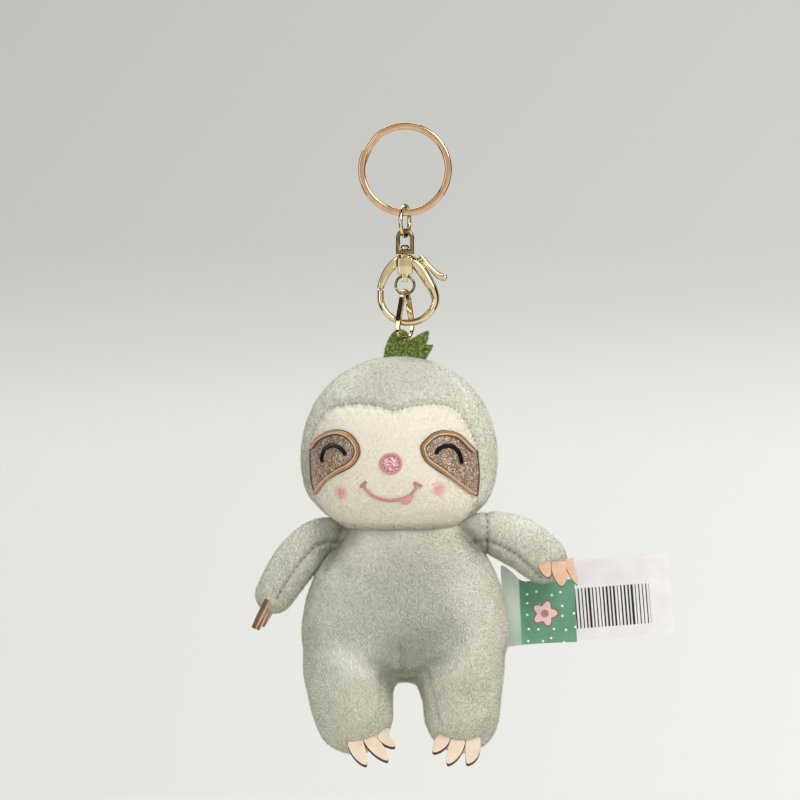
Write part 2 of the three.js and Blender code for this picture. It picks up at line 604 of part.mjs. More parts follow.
function armOpening({ spine, radii }) {
  const size = radii[0] * 2.4;
  const [x, y, z] = spine[0];
  const outwards = Math.sign(x) * (CLOTH * 2 - size / 2);
  return new THREE.BoxGeometry(size, size, size).translate(x + outwards, y, z);
}
for (const [name, arm] of [["left", ARM_LEFT], ["right", ARM_RIGHT]]) {
  const skin = cut(toSolid(limb(arm)), limb(arm, -CLOTH), armOpening(arm));
  add(`arm_skin_${name}`, inTorso(toGeometry(main(skin))), GREY_PLUSH);
  add(`arm_stuffing_${name}`, inTorso(limb(arm, -CLOTH - SEAM_GAP)), STUFFING);
}

// Three rounded claws cut from one sheet, hanging from a common root.
function clawSheet({ length, width }, bend, fan) {
  const fingers = [-1, 0, 1].map((place) => {
    const shape = new THREE.Shape();
    shape.moveTo(-width / 2, 2.5);
    shape.bezierCurveTo(-width / 2, -length * 0.5, bend - width * 0.42, -length * 0.92, bend, -length);
    shape.bezierCurveTo(bend + width * 0.4, -length * 0.92, width / 2, -length * 0.5, width / 2, 2.5);
    shape.closePath();
    return plate(shape, CLAW_THICK, { bevel: 0.2, segments: 3 })
      .rotateY(radians(place * fan))
      .translate(place * width * 0.94, 0, 0);
  });
  const root = plate(boxShape(-width * 1.35, width * 1.35, 2.2, -0.2), CLAW_THICK, { bevel: 0.2 });
  return [...fingers, root];
}

function addClaws(name, tools, holder) {
  add(name, inTorso(toGeometry(main(cut(join(tools), holder)))), CLAW_HIDE);
}
for (const [name, side, leg, inward] of [["left", -1, legLeft, 2.2], ["right", 1, legRight, 0.6]]) {
  const foot = leg.spine.at(-1);
  const place = (geometry) => geometry.rotateX(radians(-14)).rotateY(radians(side * 16))
    .translate(foot[0] - side * inward, foot[1] - 8.2, foot[2] + 4.4);
  const sheet = clawSheet(FOOT_CLAW, -side * 1.6, -7).map(place);
  addClaws(`foot_claws_${name}`, sheet, limb(leg, SEAM_GAP));
}
const handLeft = ARM_LEFT.spine.at(-1);
const handRight = ARM_RIGHT.spine.at(-1);
const leftSheet = clawSheet(HAND_CLAW, 0.6, -6).map((geometry) => geometry.rotateZ(radians(78))
  .rotateY(radians(27)).translate(handLeft[0] + 0.2, handLeft[1], handLeft[2] - 0.4));
addClaws("hand_claws_left", leftSheet, limb(ARM_LEFT, SEAM_GAP));
const rightSheet = clawSheet(HAND_CLAW, 2.0, -4).map((geometry) => geometry.rotateX(radians(-10))
  .rotateY(radians(-12)).translate(handRight[0] - 2.8, handRight[1] - 6.2, handRight[2] + 2.2));
addClaws("hand_claws_right", rightSheet, limb(ARM_RIGHT, SEAM_GAP));

// Label: two printed leaves sewn into the side seam, tilted up away from the body
for (const [name, leafSize, material] of [
  ["label_front", LABEL_FRONT, LABEL_GREEN],
  ["label_back", LABEL_BACK, LABEL_WHITE],
]) {
  const path = new THREE.CatmullRomCurve3(leafSize.path.map(([x, y]) => new THREE.Vector3(x, y, 0)));
  const section = bar(LABEL_THICK / 2, leafSize.height / 2, 0.1);
  const sheet = sweep(path, 12, UP, () => section).rotateY(radians(-leafSize.tilt))
    .translate(...LABEL_SEAM, leafSize.middle);
  const seated = cut(toSolid(sheet), ball(TORSO, SEAM_GAP));
  add(name, inTorso(toGeometry(main(seated))), material);
}

export default part;
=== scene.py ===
# %% [markdown]
# A stuffed sloth on a key ring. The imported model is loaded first: it is the frame that says where every
# piece belongs. All sizes below are written in millimetres, as a maker would note them, and turned into
# metres in one place.

# %% The frame
import math
from contextlib import contextmanager
import bpy
import numpy as np
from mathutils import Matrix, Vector
from mathutils.bvhtree import BVHTree


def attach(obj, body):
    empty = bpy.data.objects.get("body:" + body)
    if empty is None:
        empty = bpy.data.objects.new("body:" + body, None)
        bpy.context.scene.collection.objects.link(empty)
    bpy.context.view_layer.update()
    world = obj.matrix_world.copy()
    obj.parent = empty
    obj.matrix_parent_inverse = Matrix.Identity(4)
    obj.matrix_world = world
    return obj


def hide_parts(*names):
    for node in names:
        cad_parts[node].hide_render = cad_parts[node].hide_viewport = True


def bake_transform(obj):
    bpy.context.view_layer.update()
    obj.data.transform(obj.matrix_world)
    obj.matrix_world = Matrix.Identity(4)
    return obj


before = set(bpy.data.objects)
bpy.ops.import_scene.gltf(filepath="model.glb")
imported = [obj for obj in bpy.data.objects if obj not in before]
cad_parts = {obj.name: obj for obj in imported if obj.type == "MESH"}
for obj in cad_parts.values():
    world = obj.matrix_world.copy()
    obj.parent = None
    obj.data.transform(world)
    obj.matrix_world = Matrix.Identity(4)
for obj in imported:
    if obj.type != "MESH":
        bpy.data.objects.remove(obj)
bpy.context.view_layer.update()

MM = 0.001

# %% [markdown]
# The camera comes first, because every later choice is judged through it. A long lens from nearly straight
# ahead keeps the ring round and the toy free of distortion. The middle of the picture is a point on the
# hanging line, a little above the head.

# %% Camera
PICTURE_WIDTH = 256.8
PICTURE_MIDDLE = Vector((-1.6, 0.0, -86.8))
CAMERA_DISTANCE = 1700.0
CAMERA_RISE = 1.5
SENSOR = 36.0

rise = math.radians(CAMERA_RISE)
camera_data = bpy.data.cameras.new("camera")
camera_data.sensor_width = SENSOR
camera_data.lens = SENSOR * CAMERA_DISTANCE / PICTURE_WIDTH
camera_data.clip_start = 0.05
camera_data.clip_end = 20.0
camera = bpy.data.objects.new("camera", camera_data)
bpy.context.scene.collection.objects.link(camera)
back_from = Vector((0.0, -math.cos(rise), math.sin(rise)))
camera.location = (PICTURE_MIDDLE + back_from * CAMERA_DISTANCE) * MM
camera.rotation_euler = (math.radians(90) - rise, 0, 0)
bpy.context.scene.camera = camera
bpy.context.scene.view_settings.view_transform = "Standard"
print("lens", round(camera_data.lens), "mm")

# %% [markdown]
# A few short helpers stand for what is done by hand in Blender: deselect everything, name the object that
# was just added, go into edit mode and come back, put its place into its mesh, add a modifier and apply it.
# Points are read and written in millimetres.

# %% Helpers for every piece
def clear_selection():
    if bpy.context.object and bpy.context.object.mode != "OBJECT":
        bpy.ops.object.mode_set(mode="OBJECT")
    bpy.ops.object.select_all(action="DESELECT")


def focus(piece):
    clear_selection()
    piece.select_set(True)
    bpy.context.view_layer.objects.active = piece


def just_added(name):
    piece = bpy.context.object
    piece.name = name
    piece.data.name = name
    return piece


@contextmanager
def editing(piece):
    focus(piece)
    bpy.ops.object.mode_set(mode="EDIT")
    bpy.ops.mesh.select_all(action="SELECT")
    yield
    bpy.ops.object.mode_set(mode="OBJECT")


def settle(piece):
    focus(piece)
    bpy.ops.object.transform_apply(location=True, rotation=True, scale=True)


def apply(piece, kind, **settings):
    focus(piece)
    modifier = piece.modifiers.new(kind.title(), kind)
    for key, value in settings.items():
        setattr(modifier, key, value)
    bpy.ops.object.modifier_apply(modifier=modifier.name)


def points_of(piece):
    flat = np.empty(len(piece.data.vertices) * 3)
    piece.data.vertices.foreach_get("co", flat)
    return flat.reshape(-1, 3) / MM


def normals_of(piece):
    flat = np.empty(len(piece.data.vertices) * 3, np.float32)
    piece.data.vertex_normals.foreach_get("vector", flat)
    return flat.reshape(-1, 3).astype(float)


def move_points(piece, points):
    piece.data.vertices.foreach_set("co", (np.asarray(points) * MM).ravel())
    piece.data.update()


def face_outwards(piece):
    with editing(piece):
        bpy.ops.mesh.normals_make_consistent(inside=False)


def tidy_mesh(piece, merge=0.002):
    with editing(piece):
        bpy.ops.mesh.remove_doubles(threshold=merge * MM)
        bpy.ops.mesh.normals_make_consistent(inside=False)


def smooth(piece, degrees=None):
    focus(piece)
    if degrees is None:
        bpy.ops.object.shade_smooth()
    else:
        bpy.ops.object.shade_smooth_by_angle(angle=math.radians(degrees))


def copy_of(piece, name):
    focus(piece)
    bpy.ops.object.duplicate()
    return just_added(name)


def joined(pieces, name):
    clear_selection()
    for piece in pieces:
        piece.select_set(True)
    bpy.context.view_layer.objects.active = pieces[0]
    bpy.ops.object.join()
    return just_added(name)


def place(piece, body, slot, *nodes):
    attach(piece, body)
    if nodes:
        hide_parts(*nodes)
    print(piece.name, len(piece.data.polygons), "faces on", body)


# %% [markdown]
# Many pieces follow a drawn line: rings, wires, stitches and outlines. One function rounds a list of points
# into a smooth line, and another spaces the points evenly along it. A wire is such a line with a round
# section, whose radius may swell and shrink on the way.

# %% Lines
def smooth_line(points, count, closed=False):
    points = np.asarray(points, float)
    if closed:
        points = np.vstack((points[-1:], points, points[:2]))
    else:
        points = np.vstack((2 * points[:1] - points[1:2], points, 2 * points[-1:] - points[-2:-1]))
    spans = len(points) - 3
    place_on = np.linspace(0, spans, count, endpoint=not closed)
    low = np.minimum(place_on.astype(int), spans - 1)
    t = (place_on - low)[:, None]
    before, start, end, after = (points[low + k] for k in range(4))
    return 0.5 * (
        2 * start + (end - before) * t
        + (2 * before - 5 * start + 4 * end - after) * t**2
        + (3 * start - before - 3 * end + after) * t**3)


def run_along(line):
    return np.concatenate(([0], np.cumsum(np.linalg.norm(np.diff(line, axis=0), axis=1))))


def read_at(line, run, at):
    return np.column_stack([np.interp(at, run, line[:, k]) for k in range(line.shape[1])])


def unit_length(vectors):
    return vectors / np.linalg.norm(vectors, axis=1)[:, None]


def spaced(line, step, closed=False):
    line = np.asarray(line, float)
    if closed:
        line = np.vstack((line, line[:1]))
    run = run_along(line)
    count = max(2, int(round(run[-1] / step)) + (0 if closed else 1))
    return read_at(line, run, np.linspace(0, run[-1], count, endpoint=not closed))


def wire(name, line, radius, closed=False, swell=None, sides=6):
    clear_selection()
    bpy.ops.curve.primitive_nurbs_path_add()
    curve = bpy.context.object.data
    curve.splines.clear()
    spline = curve.splines.new("POLY")
    spline.points.add(len(line) - 1)
    spline.use_cyclic_u = closed
    for k, point in enumerate(line):
        spline.points[k].co = (*(np.asarray(point) * MM), 1.0)
        spline.points[k].radius = 1.0 if swell is None else swell[k]
    curve.bevel_depth = radius * MM
    curve.bevel_resolution = sides
    curve.use_fill_caps = True
    curve.twist_mode = "MINIMUM"
    bpy.ops.object.convert(target="MESH")
    piece = just_added(name)
    tidy_mesh(piece)
    smooth(piece, 50)
    return piece


BLUNT = 0.985


def round_ends(count, length, radius, start=True):
    run = np.linspace(0, length, count)
    size = np.ones(count)
    for distance in (run, length - run) if start else (length - run,):
        inside = np.clip(1 - distance / radius, 0, BLUNT)
        size = np.minimum(size, np.sqrt(1 - inside**2))
    return size


# %% [markdown]
# Finishes are node materials. Patterns read Object coordinates, so that they stay still on the piece, and
# their scale is set from the size of the grain in millimetres. `wire_up` adds one node and joins what is
# handed to it, and `put` does so for shader nodes. A plain number or colour that is the same all over is set
# on the shader's own socket.

# %% Helpers for finishes
def colour(red, green, blue):
    linear = []
    for value in (red, green, blue):
        value /= 255
        linear.append(value / 12.92 if value <= 0.04045 else ((value + 0.055) / 1.055) ** 2.4)
    return (*linear, 1.0)


def wire_up(tree, kind, inputs, **settings):
    made = tree.nodes.new(kind)
    for key, value in settings.items():
        setattr(made, key, value)
    for key, value in (inputs or {}).items():
        if isinstance(value, bpy.types.NodeSocket):
            tree.links.new(value, made.inputs[key])
        else:
            made.inputs[key].default_value = value
    return made


def put(tree, kind, inputs=None, **settings):
    return wire_up(tree, "ShaderNode" + kind, inputs, **settings)


def finish_named(name, **sockets):
    made = bpy.data.materials.new(name)
    made.use_nodes = True
    tree = made.node_tree
    shader = tree.nodes["Principled BSDF"]
    for key, value in sockets.items():
        shader.inputs[key.replace("_", " ")].default_value = value
    where = put(tree, "TexCoord").outputs["Object"]
    return made, tree, shader, where


def grain(tree, where, size, detail=3.0, roughness=0.55):
    return put(tree, "TexNoise", {
        "Vector": where, "Scale": 1 / (size * MM), "Detail": detail, "Roughness": roughness}).outputs["Fac"]


def ramp(tree, fac, *stops):
    made = put(tree, "ValToRGB", {"Fac": fac})
    elements = made.color_ramp.elements
    while len(elements) < len(stops):
        elements.new(0.5)
    for element, (at, value) in zip(elements, stops):
        element.position = at
        element.color = value
    return made.outputs["Color"]


def two_tone(tree, fac, dark, light):
    return ramp(tree, fac, (0.3, dark), (0.7, light))


def level(tree, value, low, high, start=0.0, end=1.0, kind="LINEAR"):
    return put(tree, "MapRange", {
        "Value": value, "From Min": start, "From Max": end, "To Min": low, "To Max": high},
        interpolation_type=kind).outputs["Result"]


def sums(tree, operation, first, second=0.0, third=0.0):
    return put(tree, "Math", {0: first, 1: second, 2: third}, operation=operation).outputs["Value"]


def mixed(tree, fac, first, second):
    return put(tree, "Mix", {0: fac, 6: first, 7: second}, data_type="RGBA").outputs[2]


def bumped(tree, shader, height, depth, strength=1.0):
    bump = put(tree, "Bump", {"Height": height, "Distance": depth * MM, "Strength": strength})
    tree.links.new(bump.outputs["Normal"], shader.inputs["Normal"])


def colour_from(tree, shader, socket):
    tree.links.new(socket, shader.inputs["Base Color"])


def roughness_from(tree, shader, socket):
    tree.links.new(socket, shader.inputs["Roughness"])


def paint(piece, *finishes):
    piece.data.materials.clear()
    for made in finishes:
        piece.data.materials.append(made)


# %% [markdown]
# The metal is thin bright plating on cast and drawn wire. It gets a warm colour that wanders a little, and a
# roughness broken by fine handling marks, so that its highlights aren't perfectly even. The shader's own tint
# for grazing light is dark, which gives polished edges their thin line. The key ring is a rosier gold than
# the clasp. The swivel bail and the small ring are painted a dark brown gold, a painted reflection that
# stands for the dark surroundings they mirror.

# %% Plated metal
PLATE_EDGE = colour(34, 20, 10)
HAIRLINES = (1.0, 1.0, 0.15)


def plated(name, light, dark, rough):
    made, tree, shader, where = finish_named(name, Metallic=1.0)
    colour_from(tree, shader, two_tone(tree, grain(tree, where, 3.0), dark, light))
    shader.inputs["Specular Tint"].default_value = PLATE_EDGE
    stretch = put(tree, "Mapping", {"Vector": where, "Scale": HAIRLINES}).outputs["Vector"]
    marks = grain(tree, stretch, 0.25, detail=5.0, roughness=0.7)
    roughness_from(tree, shader, level(tree, marks, rough * 0.6, rough * 1.5))
    bumped(tree, shader, marks, depth=0.008)
    return made


rose_gold = plated("rose_gold_plate", colour(238, 200, 164), colour(222, 178, 138), rough=0.09)
pale_gold = plated("pale_gold_plate", colour(242, 224, 184), colour(230, 206, 160), rough=0.08)
# A dark brown gold: painted reflection, standing for the dark surroundings that the bail and the small ring
# mirror.
painted_dark_gold = plated("painted_dark_gold_plate", colour(166, 138, 96), colour(104, 82, 54), rough=0.1)
bare_steel = plated("spring_steel", colour(200, 198, 192), colour(150, 148, 144), rough=0.25)
print("metals:", rose_gold.name, pale_gold.name, painted_dark_gold.name, bare_steel.name)

# %% [markdown]
# The key ring is one flat strip wound nearly twice round. By hand it is a small rectangle with rounded
# corners, spun about the ring's middle. Every step of the spin is then pushed to the front or the back, with
# a short slope where the strip crosses over to its second turn.

# %% Key ring
RING_MIDDLE_Z = -12.8
RING_RADIUS = 13.9
STRIP_WIDE = 2.2
STRIP_THICK = 1.25
STRIP_EDGE = 0.56
COIL_GAP = 0.12
COIL_START = 156.0
COIL_TURN = 683.0
COIL_CROSS = (325.0, 357.0)
COIL_TUCK = 0.55
TUCK_RISES, TUCK_FALLS = (322, 350), (388, 360)
COIL_STEPS = 228

clear_selection()
bpy.ops.mesh.primitive_plane_add(size=MM, location=(RING_RADIUS * MM, 0, 0))
key_ring = just_added("key_ring_coil")
with editing(key_ring):
    bpy.ops.transform.resize(value=(STRIP_WIDE, STRIP_THICK, 1))
    bpy.ops.mesh.bevel(offset=STRIP_EDGE * MM, segments=5, affect="VERTICES")
corners = len(key_ring.data.vertices)
with editing(key_ring):
    bpy.ops.mesh.spin(steps=COIL_STEPS, angle=math.radians(COIL_TURN), center=(0, 0, 0), axis=(0, 1, 0))
settle(key_ring)


def eased(value, low, high):
    t = np.clip((value - low) / (high - low), 0, 1)
    return t * t * (3 - 2 * t)


def turned_about_y(points, degrees):
    c, s = math.cos(math.radians(degrees)), math.sin(math.radians(degrees))
    x, y, z = np.asarray(points).T
    return np.column_stack((c * x - s * z, y, s * x + c * z))


turned = COIL_TURN * (np.arange(len(key_ring.data.vertices)) // corners) / COIL_STEPS
coil = turned_about_y(points_of(key_ring), COIL_START)
tuck = COIL_TUCK * eased(turned, *TUCK_RISES) * eased(turned, *TUCK_FALLS)
coil *= (1 - tuck / RING_RADIUS)[:, None]
coil[:, 1] += (eased(turned, *COIL_CROSS) - 0.5) * (STRIP_THICK + COIL_GAP)
coil[:, 2] += RING_MIDDLE_Z
move_points(key_ring, coil)
tidy_mesh(key_ring)
smooth(key_ring, 30)
paint(key_ring, rose_gold)
place(key_ring, "key_ring", "gold", "key_ring")

# %% [markdown]
# The two round rings are wire bent into a circle, with the fine slit where its ends meet. A drawn circle
# that stops just short of closing, given a round section, makes both. The upper one hangs edge-on in the key
# ring and the small one faces the viewer below the clasp.

# %% Round wire rings
SLIT = 2.2
UPPER_RING_YAW = 17.0


def turned_about_z(points, angle):
    c, s = math.cos(angle), math.sin(angle)
    x, y, z = np.asarray(points, float).T
    return np.column_stack((c * x - s * y, s * x + c * y, z))


def wire_ring(name, middle, inner, wire_thick, slit_at, edge_on):
    radius = inner + wire_thick / 2
    angle = np.radians(np.linspace(slit_at + SLIT, slit_at + 360 - SLIT, 97))
    side, up = radius * np.cos(angle), radius * np.sin(angle)
    still = np.zeros_like(side)
    line = np.column_stack((still, side, up) if edge_on else (side, still, up)) + np.asarray(middle)
    return wire(name, line, wire_thick / 2, sides=5)


upper_ring = wire_ring(
    "upper_wire_ring", (0, 0, -29.35), inner=4.2, wire_thick=1.3, slit_at=20, edge_on=True)
move_points(upper_ring, turned_about_z(points_of(upper_ring), math.radians(-UPPER_RING_YAW)))
paint(upper_ring, pale_gold)
place(upper_ring, "jump_ring", "gold", "upper_jump_ring")
small_ring = wire_ring(
    "small_wire_ring", (0, 0, -49.9), inner=2.54, wire_thick=0.86, slit_at=200, edge_on=False)
# The small ring gets the dark gold of painted reflection.
paint(small_ring, painted_dark_gold)
place(small_ring, "small_ring", "gold", "small_ring")

# %% [markdown]
# Flat cast pieces start as a drawn outline, filled and given a thickness and a rounded edge, and are then
# turned up to face the viewer. The swivel bail is such a plate with an arched window; its base has a round
# collar that carries the clasp.

# %% Swivel bail
def flat_shape(name, outlines, thickness, edge):
    clear_selection()
    bpy.ops.curve.primitive_bezier_circle_add()
    curve = bpy.context.object.data
    curve.splines.clear()
    curve.dimensions = "2D"
    curve.fill_mode = "BOTH"
    for outline in outlines:
        spline = curve.splines.new("POLY")
        spline.points.add(len(outline) - 1)
        spline.use_cyclic_u = True
        for k, (x, z) in enumerate(outline):
            spline.points[k].co = (x * MM, z * MM, 0, 1)
    curve.offset = -edge * MM
    curve.extrude = (thickness / 2 - edge) * MM
    curve.bevel_depth = edge * MM
    curve.bevel_resolution = 2
    bpy.ops.object.convert(target="MESH")
    piece = just_added(name)
    piece.rotation_euler = (math.radians(90), 0, 0)
    settle(piece)
    tidy_mesh(piece)
    smooth(piece, 40)
    return piece


def lathe(name, profile, middle):
    clear_selection()
    bpy.ops.mesh.primitive_circle_add(vertices=3, radius=MM)
    piece = just_added(name)
    with editing(piece):
        bpy.ops.mesh.delete(type="VERT")
    piece.data.from_pydata(
        [(r * MM, 0, z * MM) for r, z in profile], [(k, k + 1) for k in range(len(profile) - 1)], [])
    with editing(piece):
        bpy.ops.mesh.spin(steps=36, angle=math.tau, center=(0, 0, 0), axis=(0, 0, 1))
    piece.location = Vector(middle) * MM
    settle(piece)
    tidy_mesh(piece)
    smooth(piece, 35)
    return piece


def arch(half, top, foot):
    angle = np.linspace(0, math.pi, 26)
    curve = np.column_stack((half * np.cos(angle), top - half + half * np.sin(angle)))
    return [(half, foot), *map(tuple, curve), (-half, foot)]


def combined(piece, other, how="UNION", solver="EXACT"):
    apply(piece, "BOOLEAN", operation=how, object=other, solver=solver)
    bpy.data.objects.remove(other)


BAIL_TOP, BAIL_FOOT = -31.8, -40.0
bail = flat_shape("swivel_bail_arch", [
    arch(2.9, BAIL_TOP, BAIL_FOOT), arch(1.6, BAIL_TOP - 1.5, BAIL_FOOT + 1.6)[::-1]],
    thickness=3.2, edge=0.55)
# The bail gets the dark gold of painted reflection.
paint(bail, painted_dark_gold)
place(bail, "bail", "champagne", "swivel_bail")
for name, made in (("swivel_rivet", pale_gold), ("gate_pin", bare_steel), ("gate_spring", bare_steel)):
    paint(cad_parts[name], made)

# %% [markdown]
# The clasp's body is cast in one piece: a forked hub under the bail, a hook that leaves it on the right and
# runs round below, and an eye that carries the small ring. The hook is a drawn line with a round section
# that thins towards its nose, flattened a little from front to back. The hub is a cube with beveled edges,
# cut through for the gate.

# %% Clasp body
CLASP_TOP = -40.25
HOOK_MIDDLE = np.array((1.0, -12.75))
HOOK_RADIUS = 9.0
HOOK_DEPTH = 1.7
HOOK_STEP = 0.35
HOOK_SHARES = (0, 0.06, 0.13, 0.22, 0.3, 0.39, 0.6, 1)
HOOK_WIDTHS = (1.2, 1.6, 1.75, 1.65, 1.45, 1.12, 1.02, 1.0)


def block(name, low, high, edge):
    clear_selection()
    low, high = np.asarray(low, float), np.asarray(high, float)
    bpy.ops.mesh.primitive_cube_add(size=1, location=(low + high) / 2 * MM)
    piece = just_added(name)
    piece.scale = (high - low) * MM
    settle(piece)
    if edge:
        with editing(piece):
            bpy.ops.mesh.bevel(offset=edge * MM, segments=3, affect="EDGES")
    smooth(piece, 40)
    return piece


def in_clasp(points):
    x, z = np.asarray(points, float).T
    return np.column_stack((x, np.zeros_like(x), z + CLASP_TOP))


arc = np.radians((-14, -40, -70, -100, -130, -160, -190))
hook_line = [(1.0, -0.9), (3.0, -2.4), (5.15, -4.8), (7.25, -8.0), (9.0, -11.2)]
hook_line += [tuple(HOOK_MIDDLE + HOOK_RADIUS * np.array((math.cos(a), math.sin(a)))) for a in arc]
hook_line = spaced(smooth_line(in_clasp(hook_line), 300), HOOK_STEP)
taper = np.interp(np.linspace(0, 1, len(hook_line)), HOOK_SHARES, HOOK_WIDTHS)
hook_length = HOOK_STEP * (len(hook_line) - 1)
taper *= round_ends(len(hook_line), hook_length, radius=0.5, start=False)
hook = wire("clasp_hook_body", hook_line, 1.0, swell=taper)
hook_points = points_of(hook)
hook_points[:, 1] = np.clip(hook_points[:, 1] * 1.15, -HOOK_DEPTH, HOOK_DEPTH)
move_points(hook, hook_points)

hub = block("hub", (-2.3, -1.8, CLASP_TOP - 6.3), (2.5, 1.8, CLASP_TOP - 0.7), edge=0.55)
slot = block("slot", (-6, -0.9, CLASP_TOP - 5.6), (6, 0.9, CLASP_TOP - 1.5), edge=0)
combined(hub, slot, "DIFFERENCE")
lug = block("lug", (-1.0, -1.65, CLASP_TOP - 8.6), (1.0, 1.65, CLASP_TOP - 6.0), edge=0.4)
clear_selection()
bpy.ops.mesh.primitive_cylinder_add(
    vertices=32, radius=0.85 * MM, depth=6 * MM, location=(0, 0, (CLASP_TOP - 6.75) * MM),
    rotation=(0, math.radians(90), 0))
eye = just_added("eye_hole")
settle(eye)
combined(lug, eye, "DIFFERENCE")
collar = lathe("collar", [
    (0, 0), (1.9, 0), (2.25, -0.18), (2.25, -0.5), (1.95, -0.72), (1.75, -1.0), (0, -1.0)],
    (0, 0, CLASP_TOP + 0.02))
for extra in (hub, lug, collar):
    combined(hook, extra)
tidy_mesh(hook)
smooth(hook, 38)
paint(hook, pale_gold)
place(hook, "clasp", "champagne", "clasp_body")

# %% [markdown]
# The gate and its thumb lever are one casting that rocks on the pin. Inside the fork it is a thin web, and
# outside it swells to the full depth, so the drawn arm and lever are squeezed front to back near the pin.

# %% Clasp gate
PIVOT = (0.3, -3.4)
GATE_WEB, GATE_FULL = 0.62, 1.15
GATE_STEP = 0.3
DISC_PROFILE = [
    (0.82, -0.6), (1.5, -0.6), (1.75, -0.4), (1.75, 0.4), (1.5, 0.6), (0.82, 0.6), (0.82, -0.6)]


def gate_bar(name, line, widths, lead):
    line = spaced(smooth_line(in_clasp(line), 200), GATE_STEP)
    share = np.linspace(0, 1, len(line))
    swell = np.interp(share, np.linspace(0, 1, len(widths)), widths)
    swell *= round_ends(len(line), GATE_STEP * (len(line) - 1), lead, start=False)
    bar = wire(name, line, 1.0, swell=swell)
    points = points_of(bar)
    depth = GATE_WEB + (GATE_FULL - GATE_WEB) * eased(np.abs(points[:, 0] - PIVOT[0]), 2.6, 4.2)
    points[:, 1] = np.clip(points[:, 1] * 1.25, -depth, depth)
    move_points(bar, points)
    return bar


gate = gate_bar("clasp_gate_arm", [
    PIVOT, (-2.0, -1.9), (-5.0, -4.5), (-6.95, -7.8), (-8.0, -10.95)],
    widths=(1.35, 1.55, 1.42, 1.22, 1.06), lead=0.3)
lever = gate_bar("lever", [
    (4.9, 0.0), (5.9, -1.3), (7.8, -3.7), (10.6, -6.4), (12.0, -7.1), (13.5, -7.3)],
    widths=(0.5, 0.8, 0.82, 0.9, 1.15, 1.05), lead=0.7)
web = gate_bar("web", [PIVOT, (2.8, -2.5), (5.6, -1.0)], widths=(1.1, 0.75, 0.7), lead=0.3)
combined(lever, web)
disc = lathe("disc", DISC_PROFILE, (0, 0, 0))
disc_points = points_of(disc)
move_points(disc, np.column_stack((
    disc_points[:, 0] + PIVOT[0], -disc_points[:, 2], disc_points[:, 1] + PIVOT[1] + CLASP_TOP)))
combined(gate, lever)
combined(gate, disc)
tidy_mesh(gate)
smooth(gate, 38)
paint(gate, pale_gold)
place(gate, "gate", "champagne", "clasp_gate")

# %% [markdown]
# The pinch bail is a narrow strap bent over the small ring, whose two prongs pinch the leaf from both sides.
# It is a long grid laid along the strap's line, made thick by Solidify, with the prongs narrowed. Its plane
# is turned so that one leg stands in front of the clasp's rim and the other behind it.

# %% Pinch bail
STRAP_YAW = 60.0
PRONG_Z = -66.8


def grid_sheet(name, across, along, shape):
    clear_selection()
    bpy.ops.mesh.primitive_grid_add(x_subdivisions=across, y_subdivisions=along, size=2)
    piece = just_added(name)
    s, t, _ = (points_of(piece) * MM).T
    move_points(piece, shape(s, (t + 1) / 2))
    return piece


def thicken(piece, thickness):
    apply(piece, "SOLIDIFY", thickness=thickness * MM, offset=0.0)


strap_half = [(0.3, 0), (2.5, 0), (4.2, 1.5), (4.5, 4.2), (3.2, 8.6), (1.95, 12.6), (1.35, 14.45)]
strap_line = [(-x, z) for x, z in strap_half] + [(0, 15.2)] + strap_half[::-1]
strap_line = spaced(smooth_line(strap_line, 400), 0.25)


def strap_shape(s, t):
    x, z = read_at(strap_line, np.arange(len(strap_line)), t * (len(strap_line) - 1)).T
    from_tip = np.minimum(t, 1 - t)
    half = 0.42 + 0.53 * eased(from_tip, 0.09, 0.22) - 0.25 * eased(from_tip, 0.38, 0.46)
    return np.column_stack((x, s * half, z))


strap = grid_sheet("pinch_bail_strap", 7, len(strap_line), strap_shape)
thicken(strap, 0.8)
face_outwards(strap)
apply(strap, "BEVEL", width=0.18 * MM, segments=2, limit_method="ANGLE", angle_limit=math.radians(50))
move_points(strap, turned_about_z(points_of(strap), math.radians(STRAP_YAW)) + np.array((0, 0, PRONG_Z)))
smooth(strap, 40)
paint(strap, pale_gold)
place(strap, "pinch_bail", "gold", "pinch_bail")

# %% [markdown]
# The toy is sewn from short plush: a cloth with a soft cut pile, grey with a little green for the hood, the
# body and the arms, and cream for the face. Two finishes share one recipe. On the pile, each fibre has its
# own tone, and wide soft patches are lighter or darker, as where a hand has brushed the nap. A sheen gives
# the velvety rim of light.

# %% Plush finishes
NAP_STRETCH = (1.0, 1.0, 0.45)
BRUSHED_SHARE, TUFT_SHARE, STRAND_SHARE = 0.4, 0.6, 0.08


